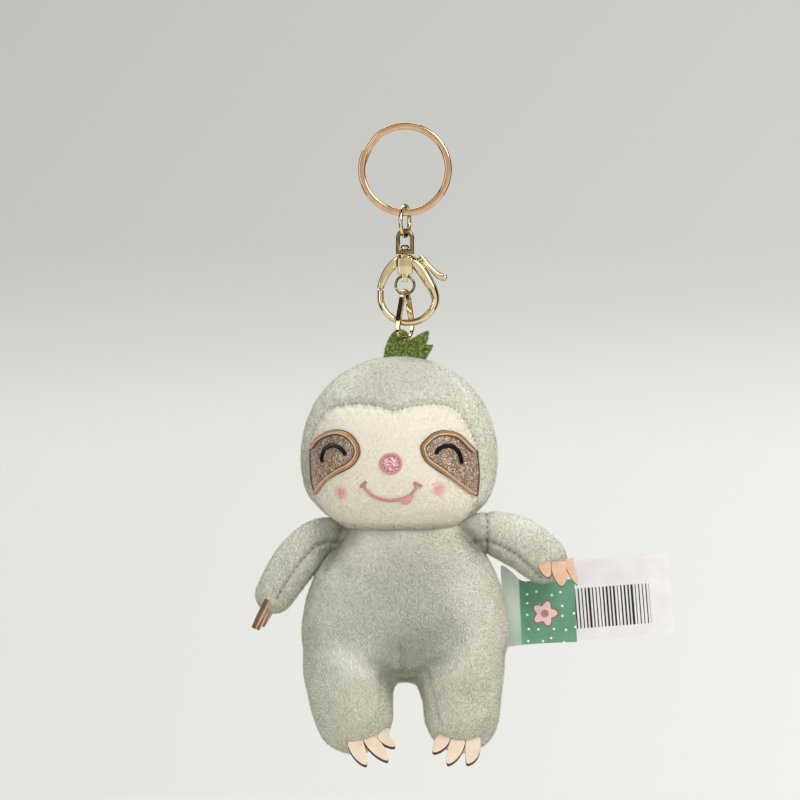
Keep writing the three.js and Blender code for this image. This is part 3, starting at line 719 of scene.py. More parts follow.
def plush(name, deep, middle, bright, spots):
    made, tree, shader, where = finish_named(
        name, Roughness=0.92, Sheen_Weight=0.35, Sheen_Roughness=0.45, Specular_IOR_Level=0.15)
    shader.inputs["Sheen Tint"].default_value = bright
    nap = put(tree, "Mapping", {"Vector": where, "Scale": NAP_STRETCH}).outputs["Vector"]
    brushed = grain(tree, where, 17.0, detail=2.0)
    tufts = grain(tree, nap, 0.45, detail=3.0, roughness=0.6)
    strand = put(tree, "Attribute", attribute_name="tone").outputs["Fac"]
    blend = sums(tree, "MULTIPLY", brushed, BRUSHED_SHARE)
    blend = sums(tree, "MULTIPLY_ADD", tufts, TUFT_SHARE, blend)
    blend = sums(tree, "MULTIPLY_ADD", strand, STRAND_SHARE, blend)
    tone = ramp(tree, blend, (0.3, deep), (0.5, middle), (0.7, bright))
    # Each spot mixes a tint in round a point: painted shade and painted highlights on the grey plush, the
    # blush on the cream.
    for middle_point, radius, share, tint in spots:
        offset = put(tree, "Mapping", {"Vector": where, "Location": tuple(-v * MM for v in middle_point)})
        distance = put(tree, "VectorMath", {0: offset.outputs["Vector"]}, operation="LENGTH").outputs["Value"]
        near = level(tree, distance, share, 0.0, radius * 0.15 * MM, radius * MM, "SMOOTHSTEP")
        tone = mixed(tree, near, tone, tint)
    colour_from(tree, shader, tone)
    bumped(tree, shader, grain(tree, where, 0.35, detail=4.0, roughness=0.75), depth=0.25, strength=0.6)
    return made


GREY_DEEP, GREY_MIDDLE, GREY_BRIGHT = colour(196, 196, 180), colour(222, 222, 207), colour(242, 242, 231)
CREAM_DEEP, CREAM_MIDDLE, CREAM_BRIGHT = colour(239, 232, 214), colour(246, 240, 225), colour(250, 246, 235)
# Two greys darkened as painted shade, a lighter and a deeper one.
PAINTED_SHADE_TONE = colour(178, 178, 163)
DEEP_PAINTED_SHADE = colour(146, 146, 132)
# Spots of painted shade: the belly under the head, the shoulders and armpits, the crotch and the folds beside
# it, and the hood's left side. The one on the top of the hood only darkens the grey there.
PAINTED_SHADE_SPOTS = [
    ((2, -22, -148), 31, 0.75, PAINTED_SHADE_TONE), ((0, -10, -78), 26, 0.5, PAINTED_SHADE_TONE),
    ((-32, -9, -110), 14, 0.6, PAINTED_SHADE_TONE), ((-22, -6, -132), 13, 0.75, DEEP_PAINTED_SHADE),
    ((22, -6, -132), 10, 0.6, DEEP_PAINTED_SHADE), ((-1, -15, -175), 10, 0.6, DEEP_PAINTED_SHADE),
    ((2, -22, -166), 15, 0.55, DEEP_PAINTED_SHADE), ((13, -22, -160), 11, 0.35, DEEP_PAINTED_SHADE)]
# Spots of painted highlight: the left thigh and the right flank, where they bulge towards the light.
PAINTED_HIGHLIGHT_SPOTS = [((-15, -22, -172), 10, 0.6, GREY_BRIGHT), ((22, -20, -148), 13, 0.3, GREY_BRIGHT)]
# The grey plush carries the spots of painted shade and painted highlight.
grey_cloth = plush("grey_plush", GREY_DEEP, GREY_MIDDLE, GREY_BRIGHT, PAINTED_SHADE_SPOTS + PAINTED_HIGHLIGHT_SPOTS)
print("plush:", grey_cloth.name)

# %% [markdown]
# A stuffed form begins as a cube, cut into small squares and rounded into a ball, because such a ball has no
# poles where cloth would bunch. Each point is then moved to the shape of the piece: the head is a ball
# with its own reach up and down, and a limb is a ball drawn out along a line with a radius at every place.

# %% Stuffed forms
def square_ball(name, cuts):
    clear_selection()
    bpy.ops.mesh.primitive_cube_add(size=2 * MM)
    piece = just_added(name)
    with editing(piece):
        bpy.ops.mesh.subdivide(number_cuts=cuts)
    cube = np.clip(points_of(piece), -1, 1)
    return piece, unit_length(np.tan(cube * math.pi / 4))


def ball_shape(unit, side, front, up, down, full_up, full_down):
    x, y, z = unit.T
    flat = np.maximum(np.hypot(x, y), 1e-9)
    power = np.where(z > 0, 2 / full_up, 2 / full_down)
    width = flat**power
    lift = np.sign(z) * np.abs(z) ** power * np.where(z > 0, up, down)
    return np.column_stack((side * width * x / flat, front * width * y / flat, lift))


def limb_shape(unit, spine, radii, depths):
    line = smooth_line(spine, 400)
    run = run_along(line)
    length = run[-1]
    x, y, z = unit.T
    flat = np.maximum(np.hypot(x, y), 1e-9)
    share = (1 - z) / 2
    at = share * length
    middle = read_at(line, run, at)
    along = unit_length(read_at(np.gradient(line, run, axis=0), run, at))
    across = unit_length(np.cross((0, 1, 0), along))
    over = np.cross(along, across)
    radius = np.interp(share, np.linspace(0, 1, len(radii)), radii)
    depth = radius * np.interp(share, np.linspace(0, 1, len(depths)), depths)
    first = np.sqrt(1 - np.clip(1 - at / radii[0], 0, 1) ** 2)
    last = np.sqrt(1 - np.clip(1 - (length - at) / radii[-1], 0, 1) ** 2)
    end = first * last
    return middle + across * (radius * end * x / flat)[:, None] + over * (depth * end * y / flat)[:, None]


# %% [markdown]
# Filling pushes the cloth out between its seams. Cloth simulation does the same: the form starts a little
# slack, the points along the seams are pinned, and air pressure swells the rest for twenty frames. How far a
# point may move is capped, so the piece keeps its drawn size.

# %% Filling by cloth simulation
FRAMES = 20
SEAMS = "seams"
CLOTH = dict(
    use_pressure=True, uniform_pressure_force=9000.0, mass=0.002, quality=8, tension_stiffness=8,
    compression_stiffness=8, shear_stiffness=3, bending_stiffness=0.05, air_damping=4,
    vertex_group_mass=SEAMS)


def fill_with_pressure(piece, pinned, cap):
    before = points_of(piece)
    group = piece.vertex_groups.new(name=SEAMS)
    group.add([int(k) for k in np.flatnonzero(pinned)], 1.0, "REPLACE")
    focus(piece)
    cloth = piece.modifiers.new("Filling", "CLOTH")
    for key, value in CLOTH.items():
        setattr(cloth.settings, key, value)
    cloth.settings.effector_weights.gravity = 0
    cloth.collision_settings.use_collision = False
    cloth.point_cache.frame_start = 1
    cloth.point_cache.frame_end = FRAMES
    for step in range(1, FRAMES + 1):
        bpy.context.scene.frame_set(step)
    bpy.ops.object.modifier_apply(modifier=cloth.name)
    bpy.context.scene.frame_set(1)
    piece.vertex_groups.clear()
    moved = points_of(piece) - before
    far = np.linalg.norm(moved, axis=1)
    moved *= (np.minimum(far, cap) / np.maximum(far, 1e-9))[:, None]
    move_points(piece, before + moved)
    print(piece.name, "swelled", round(float(far.mean()), 2), "mm, at most", round(float(far.max()), 2))


# %% [markdown]
# The pile is real: short three-sided fibres stand all over the cloth and lean the way the nap is brushed,
# which is downwards. One fibre is modelled and a small node tree scatters it: points on the faces, an
# instance on each, turned to the leaning direction, with random length. Each fibre gets its own tone, and its
# own square of a map, so that its colour can be kept with the mesh.

# %% Pile
FIBRE_WIDE = 0.085
SHORTEST, LONGEST = 0.65, 1.15
MAP_SQUARES = 224
SQUARE_USED = (0.8, 0.8, 0)

clear_selection()
bpy.ops.mesh.primitive_cone_add(
    vertices=3, radius1=FIBRE_WIDE * MM, radius2=0, depth=MM, location=(0, 0, 0.5 * MM))
fibre = just_added("fibre")
settle(fibre)
fibre.hide_render = True


def pile_nodes(density, length, stand, comb, mess, seed, made):
    tree = bpy.data.node_groups.new("pile", "GeometryNodeTree")
    tree.interface.new_socket("Geometry", in_out="INPUT", socket_type="NodeSocketGeometry")
    tree.interface.new_socket("Geometry", in_out="OUTPUT", socket_type="NodeSocketGeometry")

    def vectors(operation, first, second, key=1):
        return put(tree, "VectorMath", {0: first, key: second}, operation=operation).outputs[0]

    def chance(kind, low, high, offset):
        first, out = (0, 0) if kind == "FLOAT_VECTOR" else (2, 1)
        return wire_up(tree, "FunctionNodeRandomValue", {
            first: low, first + 1: high, "Seed": seed + offset}, data_type=kind).outputs[out]

    def kept(geometry, name, value, data_type="FLOAT", domain="POINT"):
        inputs = {"Geometry": geometry, "Name": name, "Value": value}
        return wire_up(
            tree, "GeometryNodeStoreNamedAttribute", inputs, data_type=data_type, domain=domain).outputs[0]

    def read(name, data_type="FLOAT"):
        return wire_up(
            tree, "GeometryNodeInputNamedAttribute", {"Name": name}, data_type=data_type).outputs[0]

    skin = tree.nodes.new("NodeGroupInput").outputs[0]
    per_square_metre = sums(tree, "MULTIPLY", read("pile"), density / MM**2)
    scatter = wire_up(tree, "GeometryNodeDistributePointsOnFaces", {
        "Mesh": skin, "Density": per_square_metre, "Seed": seed})
    lean = vectors("SCALE", scatter.outputs["Normal"], stand, "Scale")
    lean = vectors("ADD", lean, comb)
    lean = vectors("ADD", lean, chance("FLOAT_VECTOR", (-mess,) * 3, (mess,) * 3, 1))
    turn = wire_up(tree, "FunctionNodeAlignRotationToVector", {"Vector": lean}, axis="Z").outputs[0]
    tall = chance("FLOAT", length * SHORTEST, length * LONGEST, 2)
    size = put(tree, "CombineXYZ", {0: 1.0, 1: 1.0, 2: tall}).outputs[0]
    points = kept(scatter.outputs["Points"], "tone", chance("FLOAT", -1.0, 1.0, 3))
    points = kept(points, "strand", tree.nodes.new("GeometryNodeInputIndex").outputs[0])
    shape = wire_up(tree, "GeometryNodeObjectInfo", {"Object": fibre}).outputs["Geometry"]
    grown = wire_up(tree, "GeometryNodeInstanceOnPoints", {
        "Points": points, "Instance": shape, "Rotation": turn, "Scale": size}).outputs[0]
    grown = wire_up(tree, "GeometryNodeRealizeInstances", {"Geometry": grown}).outputs[0]
    strand = read("strand")
    row = sums(tree, "FLOOR", sums(tree, "DIVIDE", strand, MAP_SQUARES))
    column = sums(tree, "SUBTRACT", strand, sums(tree, "MULTIPLY", row, MAP_SQUARES))
    square = put(tree, "CombineXYZ", {0: column, 1: row}).outputs[0]
    spot = vectors("ADD", square, vectors("MULTIPLY_ADD", read("UVMap", "FLOAT_VECTOR"), SQUARE_USED))
    spot = vectors("SCALE", spot, 1 / MAP_SQUARES, "Scale")
    grown = kept(grown, "OFBake", spot, "FLOAT2", "CORNER")
    grown = wire_up(tree, "GeometryNodeSetMaterial", {"Geometry": grown, "Material": made}).outputs[0]
    out = tree.nodes.new("NodeGroupOutput")
    tree.links.new(grown, out.inputs[0])
    return tree


def grow_pile(skin, name, made, mask, density, length, seed, stand=0.45, comb=(0, 0, -0.6), mess=0.32):
    pile = copy_of(skin, name)
    attribute = pile.data.attributes.new("pile", "FLOAT", "POINT")
    attribute.data.foreach_set("value", np.asarray(mask, np.float32))
    apply(pile, "NODES", node_group=pile_nodes(density, length, stand, comb, mess, seed, made))
    paint(pile, made)
    smooth(pile)
    return pile


# %% [markdown]
# The face is sewn into the hood along one seam. Its outline is drawn flat, in the head's own axes, and a
# helper gives each point's distance inside that outline: positive on the face and negative on the hood.

# %% Head axes and the face's outline
HEAD_MIDDLE = np.array((-1.8, 0.0, -104.5))
HEAD_TURN = math.radians(-5)
HEAD = dict(side=31.3, front=26.0, up=31.8, down=24.0, full_up=2.1, full_down=2.85)
FACE_RIGHT = [
    (-0.4, 15.0), (3, 15.5), (6.6, 16.5), (11.5, 17.0), (15.8, 16.6), (19.5, 14.9), (22.4, 11.3), (24.6, 6.8),
    (26, 2.2), (26.5, -5), (25.9, -12.5), (24, -18.6), (20.5, -23.5), (15, -28)]
FACE_LEFT = [
    (-15, -28), (-20.5, -23.5), (-24.4, -18.6), (-26.6, -12.5), (-27.6, -5), (-27.7, 2.4), (-26.4, 8),
    (-23.8, 12.8), (-20, 15.8), (-14.5, 16.8), (-8.9, 16.8), (-4.2, 16.1)]
EYE_RIGHT = [
    (25.8, 1.6), (21.1, 7), (16.9, 8.5), (13, 7.9), (9.9, 5.2), (9, 3.2), (10.3, -0.5), (13.4, -3.3),
    (18.8, -7.1), (25.4, -12.5)]
EYE_LEFT = [
    (-27.6, 2.6), (-24.5, 6.3), (-19, 8.6), (-14.2, 7.9), (-11.2, 5.1), (-10.2, 2.3), (-10.8, -0.2),
    (-13.3, -3), (-18.9, -5.9), (-23, -8.8), (-25.9, -12.2)]
NOSE_MIDDLE = np.array((-0.3, -1.7))
NOSE_HALF = np.array((3.65, 3.4))


def from_head(points):
    return turned_about_z(points, HEAD_TURN) + HEAD_MIDDLE


def to_head(points):
    return turned_about_z(np.asarray(points, float) - HEAD_MIDDLE, -HEAD_TURN)


def inside_by(points, loop):
    start, end = loop, np.roll(loop, -1, axis=0)
    edge = end - start
    best = np.full(len(points), 1e9)
    crossings = np.zeros(len(points), int)
    for a, b, e in zip(start, end, edge):
        t = np.clip(((points - a) @ e) / (e @ e), 0, 1)
        best = np.minimum(best, np.linalg.norm(points - a - t[:, None] * e, axis=1))
        spans = (a[1] > points[:, 1]) != (b[1] > points[:, 1])
        cut = a[0] + (points[:, 1] - a[1]) * e[0] / (e[1] if e[1] else 1e-9)
        crossings += spans & (points[:, 0] < cut)
    return np.where(crossings % 2 == 1, best, -best)


face_loop = smooth_line(FACE_RIGHT + FACE_LEFT, 220, closed=True)
eye_loops = {"left": smooth_line(EYE_LEFT, 90), "right": smooth_line(EYE_RIGHT, 90)}
turn = np.linspace(0, math.tau, 48, endpoint=False)
nose_loop = NOSE_MIDDLE + NOSE_HALF * np.column_stack((np.cos(turn), np.sin(turn)))


def face_depth(points):
    local = to_head(points)
    return np.where(local[:, 1] < 0, inside_by(local[:, [0, 2]], face_loop), -30.0)


print("face outline", *np.ptp(face_loop, axis=0).round(1), "mm")

# %% [markdown]
# The head is one ball: it is filled under pressure with the face seam and the neck pinned, made finer, and
# the seam is then pressed in as a groove, with small puckers along it where the stitches pull, except under
# the eye patches, which hold it flat.

# %% Head
SLACK = 0.985
NECK_LOW, NECK_RADIUS = -22.5, 13
PINNED_WIDE = 0.9
SEAM_DEEP, SEAM_WIDE = 0.95, 1.15
PUCKER_DEEP, PUCKER_COUNT, PUCKER_WIDE = 0.16, 46, 2.4

head, head_unit = square_ball("head", cuts=30)
move_points(head, from_head(ball_shape(head_unit, **HEAD) * SLACK))
head_points = points_of(head)
local = to_head(head_points)
neck = (local[:, 2] < NECK_LOW) & (np.hypot(*local[:, :2].T) < NECK_RADIUS)
fill_with_pressure(head, (np.abs(face_depth(head_points)) < PINNED_WIDE) | neck, cap=1.0)
apply(head, "SUBSURF", levels=2, render_levels=2)

head_points, head_normals = points_of(head), normals_of(head)
depth_in = face_depth(head_points)
local = to_head(head_points)
around = np.arctan2(local[:, 2] + 4, local[:, 0])
pucker = PUCKER_DEEP * np.sin(around * PUCKER_COUNT) * np.exp(-np.abs(depth_in) / PUCKER_WIDE)
under_patch = np.max([inside_by(local[:, [0, 2]], loop) for loop in eye_loops.values()], axis=0)
pucker *= eased(-under_patch, 1.0, 4.0)
groove = SEAM_DEEP * np.exp(-((depth_in / SEAM_WIDE) ** 2))
plump = 0.55 * eased(depth_in, 0, 9)
rim = 0.35 * eased(-depth_in, 0.4, 2.5) * eased(-depth_in, 14, 3)
head_points += head_normals * (pucker - groove + plump + rim)[:, None]
move_points(head, head_points)
smooth(head)
print("head", len(head.data.polygons), "faces")

# %% [markdown]
# The head is then parted into two skins: a thin cream panel and the grey rest. The cutter is a block with the
# face's outline, hollowed by a slightly smaller head. What it takes is the face, and what it leaves is the
# hood.

# %% Face and hood
PANEL_THICK = 1.6
BLOCK_FRONT, BLOCK_DEEP = -40.0, 38


def face_block(name):
    clear_selection()
    bpy.ops.mesh.primitive_circle_add(vertices=len(face_loop), radius=MM, fill_type="NGON")
    tool = just_added(name)
    front = np.full(len(face_loop), BLOCK_FRONT)
    move_points(tool, np.column_stack((face_loop[:, 0], front, face_loop[:, 1])))
    with editing(tool):
        bpy.ops.mesh.extrude_region_move(TRANSFORM_OT_translate={"value": (0, BLOCK_DEEP * MM, 0)})
    face_outwards(tool)
    move_points(tool, from_head(points_of(tool)))
    core = copy_of(head, "core")
    move_points(core, points_of(core) - normals_of(core) * PANEL_THICK)
    combined(tool, core, "DIFFERENCE", "MANIFOLD")
    return tool


face = copy_of(head, "face_plush")
combined(face, face_block("face_tool"), "INTERSECT", "MANIFOLD")
hood = copy_of(head, "hood_plush")
combined(hood, face_block("hood_tool"), "DIFFERENCE", "MANIFOLD")
for piece in (face, hood):
    tidy_mesh(piece, 0.01)
    smooth(piece, 60)
    print(piece.name, len(piece.data.polygons), "faces")

# %% [markdown]
# What is sewn onto the face has to lie on its curve. A ray cast straight back from in front of the head finds
# the place on the cloth, and a lift along the surface sets the piece just above it. The two blushes of the
# cream cloth get their places the same way.

# %% Points on the face
RAY_START = -60.0
STRAIGHT_BACK = turned_about_z([(0, 1, 0)], HEAD_TURN)


def surface_of(piece):
    return BVHTree.FromPolygons(
        [v.co.copy() for v in piece.data.vertices], [p.vertices[:] for p in piece.data.polygons])


head_shape = surface_of(head)


def on_face(points, lift):
    found = []
    for x, z in points:
        start = Vector(from_head([(x, RAY_START, z)])[0]) * MM
        spot, normal, _, _ = head_shape.ray_cast(start, Vector(STRAIGHT_BACK[0]))
        found.append(np.array(spot + normal * lift * MM) / MM)
    return np.array(found)


BLUSH, BLUSH_RADIUS, BLUSH_SHARE = colour(244, 134, 160), 3.4, 0.6
CHEEKS = ((-16.9, -11.3), (14.5, -9.9))
blush_spots = [(tuple(on_face([spot], 0)[0]), BLUSH_RADIUS, BLUSH_SHARE, BLUSH) for spot in CHEEKS]
cream_cloth = plush("cream_plush", CREAM_DEEP, CREAM_MIDDLE, CREAM_BRIGHT, blush_spots)
paint(face, cream_cloth)
paint(hood, grey_cloth)
place(face, "plush", "cream_plush", "face_panel")
place(hood, "plush", "grey_plush", "head_skin", "head_stuffing")

# %% [markdown]
# The hood and the face get their pile from the whole head, each with a mask that ends at the seam. The face
# is left bare under the sewn patches. The cream pile is shorter and denser than the grey, and longer fibres
# hang from the chin.

# %% Pile on the head
flat = to_head(head_points)[:, [0, 2]]
sewn_over = np.max([inside_by(flat, loop) for loop in (*eye_loops.values(), nose_loop)], axis=0)
outside = eased(-depth_in, -0.2, 0.2)
hood_pile = grow_pile(head, "hood_pile", grey_cloth, outside, density=6.3, length=0.65, seed=11)
free = eased(depth_in, -0.1, 0.3) * eased(-sewn_over, 0.1, 0.6)
face_pile = grow_pile(head, "face_pile", cream_cloth, free, density=11.0, length=0.36, seed=23)
chin = eased(-flat[:, 1], 20.5, 22.0) * eased(depth_in, 0.5, 1.5)
chin_pile = grow_pile(
    head, "chin_pile", cream_cloth, chin, density=6.0, length=1.2, comb=(0, -0.3, -0.6), mess=0.4, seed=29)
place(hood_pile, "plush", "grey_plush")
place(face_pile, "plush", "cream_plush")
place(chin_pile, "plush", "cream_plush")
bpy.data.objects.remove(head)

# %% [markdown]
# The body is one sewn skin: a belly and two legs. Three stuffed forms are joined and remeshed into one, which
# welds the legs on with a soft crease, and the whole is filled under pressure with the side seams and the
# neck pinned. Points that would reach into the head are set down on its underside.

# %% Body
BODY_MIDDLE = np.array((0.2, 0.0, -162.2))
BELLY = dict(side=33.4, front=24.0, up=44.0, down=15.0, full_up=1.85, full_down=2.2)
LEG_DEPTHS = (1.45, 1.42, 1.26, 0.98)
LEGS = {
    "leg_left": dict(
        spine=[(-15.2, 0, 6), (-17.6, -0.5, -9), (-16.9, -1.5, -23), (-12.9, -3, -37.6)],
        radii=(15, 15.2, 12.7, 11.0)),
    "leg_right": dict(
        spine=[(15.0, 0, 6), (16.8, -0.5, -9), (18.0, -1.5, -23), (16.4, -3, -37.6)],
        radii=(15, 14.8, 11.9, 11.0))}
BODY_VOXEL = 1.35
SHOULDER_Z = -133
SIDE_SEAM_Y = 0.5
UNDER_HEAD_Z = -136


def head_underside(points):
    local = to_head(points)
    wide, deep = np.abs(local[:, 0]) / HEAD["side"], np.abs(local[:, 1]) / HEAD["front"]
    out = np.clip(wide**2 + deep**2, 0, 1)
    tall = (1 - out ** (HEAD["full_down"] / 2)) ** (1 / HEAD["full_down"])
    return HEAD_MIDDLE[2] - HEAD["down"] * tall


belly, belly_unit = square_ball("belly", cuts=20)
move_points(belly, ball_shape(belly_unit, **BELLY) + BODY_MIDDLE)
legs = []
for name, form in LEGS.items():
    leg, leg_unit = square_ball(name, cuts=14)
    move_points(leg, limb_shape(leg_unit, **form, depths=LEG_DEPTHS) + BODY_MIDDLE)
    tidy_mesh(leg)
    legs.append(leg)
body = joined([belly, *legs], "body_plush")
apply(body, "REMESH", mode="VOXEL", voxel_size=BODY_VOXEL * MM)
apply(body, "SMOOTH", factor=0.6, iterations=8)
body_points = points_of(body)
low_neck = body_points[:, 2] > SHOULDER_Z
side_seam = np.abs(body_points[:, 1] - SIDE_SEAM_Y) < PINNED_WIDE
fill_with_pressure(body, low_neck | side_seam, cap=1.1)
apply(body, "SUBSURF", levels=1, render_levels=1)

# %% [markdown]
# Seams, darts and folds are pressed into the filled cloth. Each is a soft groove about a line: the side
# seams, the seam down the back, the folds at the shoulders and over the legs. Shallow dimples keep the
# filling from looking even, and the cloth is tucked in between the legs.

# %% Folds of the body
TUCK_DEEP = 7.0
DART = np.array((-1.3, -23.0, -165.2))
HEAD_GAP = 0.6
body_points, body_normals = points_of(body), normals_of(body)
local = body_points - BODY_MIDDLE


def crease(distance, deep, wide):
    return deep * np.exp(-((distance / wide) ** 2))


def along_fold(points, fold):
    line, deep, wide, fades = fold
    line = smooth_line(line, 60)
    away = np.sqrt(((points[:, None, [0, 2]] - line[None]) ** 2).sum(2))
    share = np.argmin(away, axis=1) / (len(line) - 1)
    in_front = eased(-points[:, 1], 1.0, 6.0)
    return in_front * crease(away.min(axis=1), deep, wide) * (1 - fades * eased(share, 0.35, 1.0))


SHOULDER_FOLDS = [
    ([(-19.0, -126.0), (-22.4, -133.0), (-26.4, -140.5)], 1.1, 1.5, 0),
    ([(18.0, -127.5), (22.0, -131.8), (26.6, -137.0)], 1.1, 1.5, 0)]
BODY_FOLDS = SHOULDER_FOLDS + [
    ([(-3.2, -176.0), (-10.5, -170.6), (-21.0, -167.5)], 2.2, 2.8, 1),
    ([(3.1, -176.0), (11.0, -170.6), (22.0, -166.5)], 2.2, 2.8, 1),
    ([(5.4, -173.0), (8.8, -182.0), (11.0, -190.5)], 1.3, 0.9, 0.5),
    ([(-6.2, -173.0), (-7.4, -182.0), (-8.0, -188.0)], 0.8, 0.9, 1)]

press = crease(body_points[:, 1] - SIDE_SEAM_Y, 0.5, 1.0)
back_seam = np.where(body_points[:, 1] > 6, np.abs(local[:, 0]), 20)
press += crease(back_seam, 0.55, 1.1)
crotch = np.where(body_points[:, 1] < 2, np.hypot(local[:, 0] + 1.2, (local[:, 2] + 6.5) * 0.35), 20)
press += crease(crotch, 0.9, 1.6)
press += crease(np.linalg.norm(body_points - DART, axis=1), 0.5, 1.6)
press += sum(along_fold(body_points, fold) for fold in BODY_FOLDS)
x, y, z = local.T
dimples = 0.22 * np.sin(x * 0.5 + 1.7) * np.sin(z * 0.42) * np.sin(y * 0.4 + 0.6)
body_points += body_normals * (dimples - press)[:, None]
under_belly = eased(-body_points[:, 2], 171.2, 176.0) * eased(-body_points[:, 2], 184.0, 178.0)
tucked = under_belly * np.exp(-((body_points[:, 0] / 4.6) ** 4)) * eased(-body_points[:, 1], 0.0, 8.0)
body_points[:, 1] += TUCK_DEEP * tucked
under_head = head_underside(body_points) - HEAD_GAP
height = body_points[:, 2]
body_points[:, 2] = np.minimum(height, np.where(height > UNDER_HEAD_Z, under_head, 0))
move_points(body, body_points)
smooth(body)
paint(body, grey_cloth)
place(body, "plush", "grey_plush", "body_skin", "body_stuffing")

# %% [markdown]
# The body's pile is grown in two pieces, front and back, so that neither mesh gets too large. It stops short
# of the neck, which the head covers.

# %% Pile on the body
PILE_STARTS = (-127.6, -129.2)
bare = eased(body_points[:, 2], *PILE_STARTS)
front_half = eased(-body_points[:, 1], -1.0, 0.0)
for name, half, seed in (("body_pile_front", front_half, 31), ("body_pile_back", 1 - front_half, 37)):
    pile = grow_pile(body, name, grey_cloth, bare * half, density=6.9, length=0.8, seed=seed)
    place(pile, "plush", "grey_plush")

# %% [markdown]
# The arms are sewn tubes that leave the body under the chin. Each is a limb with its root inside the body,
# filled with the lengthwise seam and the root pinned.

# %% Arms
ARMS = {
    "left": dict(
        spine=[
            (-12, 0, 26.0), (-20, 0, 30.5), (-27.8, 0, 30.6), (-34.5, 0, 24.7), (-41, 0, 15.1),
            (-44.8, 0, 7.7)],
        radii=(5.4, 6.2, 6.6, 6.9, 6.3, 5.6), depths=(1.1, 1.0, 0.95),
        start=(-21.0, 0, 31.6), end=(-28.5, 0, 29.4), inner=1, seam=(1.2, 1.4), shoulder=(), seed=45),
    "right": dict(
        spine=[
            (12, 0, 26.0), (20, 0, 31.0), (27.7, 0, 32.6), (36.7, 0, 29.6), (44.4, 0, 24.1),
            (50.4, 0, 19.8)],
        radii=(5.4, 6.4, 6.9, 7.8, 7.6, 6.7), depths=(1.1, 1.0, 0.92),
        start=(21.0, 0, 31.4), end=(29.0, 0, 32.0), inner=-1, seam=(2.2, 5.2), shoulder=(26.4,), seed=46)}
ROOT_STEPS = 30
SEAM_SPAN = (60, 185)
arm_seams = {}


def from_seam(points, line, arm):
    nearest = np.argmin(((points[:, None, [0, 2]] - line[None, :, [0, 2]]) ** 2).sum(2), axis=1)
    off_axis = points - line[nearest]
    below = np.cross(unit_length(np.gradient(line, axis=0)[nearest]), (0, 1, 0)) * arm["inner"]
    seam_low = np.interp(nearest, SEAM_SPAN, arm["seam"])
    return nearest, off_axis[:, 1] < 0, (off_axis * below).sum(1) - seam_low


for side, arm in ARMS.items():
    limb, limb_unit = square_ball(f"arm_plush_{side}", cuts=20)
    spine = np.array(arm["spine"]) + BODY_MIDDLE
    move_points(limb, limb_shape(limb_unit, spine, arm["radii"], arm["depths"]))
    tidy_mesh(limb)
    line = smooth_line(spine, 200)
    nearest, in_front, away = from_seam(points_of(limb), line, arm)
    seam = (np.abs(away) < 0.8) & in_front
    fill_with_pressure(limb, seam | (nearest < ROOT_STEPS), cap=0.7)
    apply(limb, "SUBSURF", levels=1, render_levels=1)
    limb_points, limb_normals = points_of(limb), normals_of(limb)
    nearest, in_front, away = from_seam(limb_points, line, arm)
    seam_line = np.where(in_front, away, 9.0)
    press = crease(seam_line, 0.75, 0.85) * eased(nearest, 185, 160)
    press += 0.14 * np.sin(nearest * 0.55) * np.exp(-np.abs(seam_line) / 1.6)
    press += sum(along_fold(limb_points, fold) for fold in SHOULDER_FOLDS)
    for fold_x in arm["shoulder"]:
        press += crease(limb_points[:, 0] - fold_x, 0.7, 0.85)
    limb_points -= limb_normals * press[:, None]
    move_points(limb, limb_points)
    smooth(limb)
    paint(limb, grey_cloth)
    all_over = np.ones(len(limb_points))
    fluff = grow_pile(
        limb, f"arm_pile_{side}", grey_cloth, all_over, density=9.0, length=0.8, seed=arm["seed"])
    bend_start = tuple((np.array(arm["start"]) + BODY_MIDDLE) * MM)
    bend_end = tuple((np.array(arm["end"]) + BODY_MIDDLE) * MM)
    across = unit_length(np.cross(np.gradient(line, axis=0), (0, 1, 0)) * arm["inner"])
    seam_low = np.interp(np.arange(len(line)), SEAM_SPAN, arm["seam"])
    arm_seams[side] = limb, line + across * seam_low[:, None], bend_start, bend_end
    for piece in (limb, fluff):
        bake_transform(piece)
    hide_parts(f"arm_skin_{side}", f"arm_stuffing_{side}")
    print(limb.name, len(limb.data.polygons), "faces,", len(fluff.data.polygons) // 4, "fibres")

# %% [markdown]
# Embroidery and sewn-on patches make the face. Glitter cloth is a film with thousands of flat flakes, each
# tilted its own way: a Voronoi pattern gives every flake its own tone and roughness. Satin thread is smooth
# and catches light in a narrow band along each stitch.

# %% Face finishes
def glitter(name, deep, middle, bright, flake):
    made, tree, shader, where = finish_named(name, Roughness=0.35, Specular_IOR_Level=0.6)
    cells = put(tree, "TexVoronoi", {"Vector": where, "Scale": 1 / (flake * MM)}).outputs["Color"]
    chance = put(tree, "SeparateColor", {"Color": cells}).outputs
    colour_from(tree, shader, ramp(
        tree, chance["Red"], (0.0, deep), (0.3, middle), (0.8, middle), (0.92, bright), (1.0, bright)))
    roughness_from(tree, shader, level(tree, chance["Green"], 0.15, 0.6))
    bumped(tree, shader, chance["Blue"], depth=0.12, strength=0.9)
    return made


def satin(name, deep, bright, **sockets):
    made, tree, shader, where = finish_named(
        name, Roughness=0.3, Specular_IOR_Level=0.75, Sheen_Weight=0.2, Sheen_Roughness=0.35, **sockets)
    shader.inputs["Sheen Tint"].default_value = bright
    strands = grain(tree, where, 0.32, detail=3.0, roughness=0.7)
    colour_from(tree, shader, two_tone(tree, strands, deep, bright))
    roughness_from(tree, shader, level(tree, strands, 0.26, 0.48))
    bumped(tree, shader, strands, depth=0.06, strength=0.5)
    return made


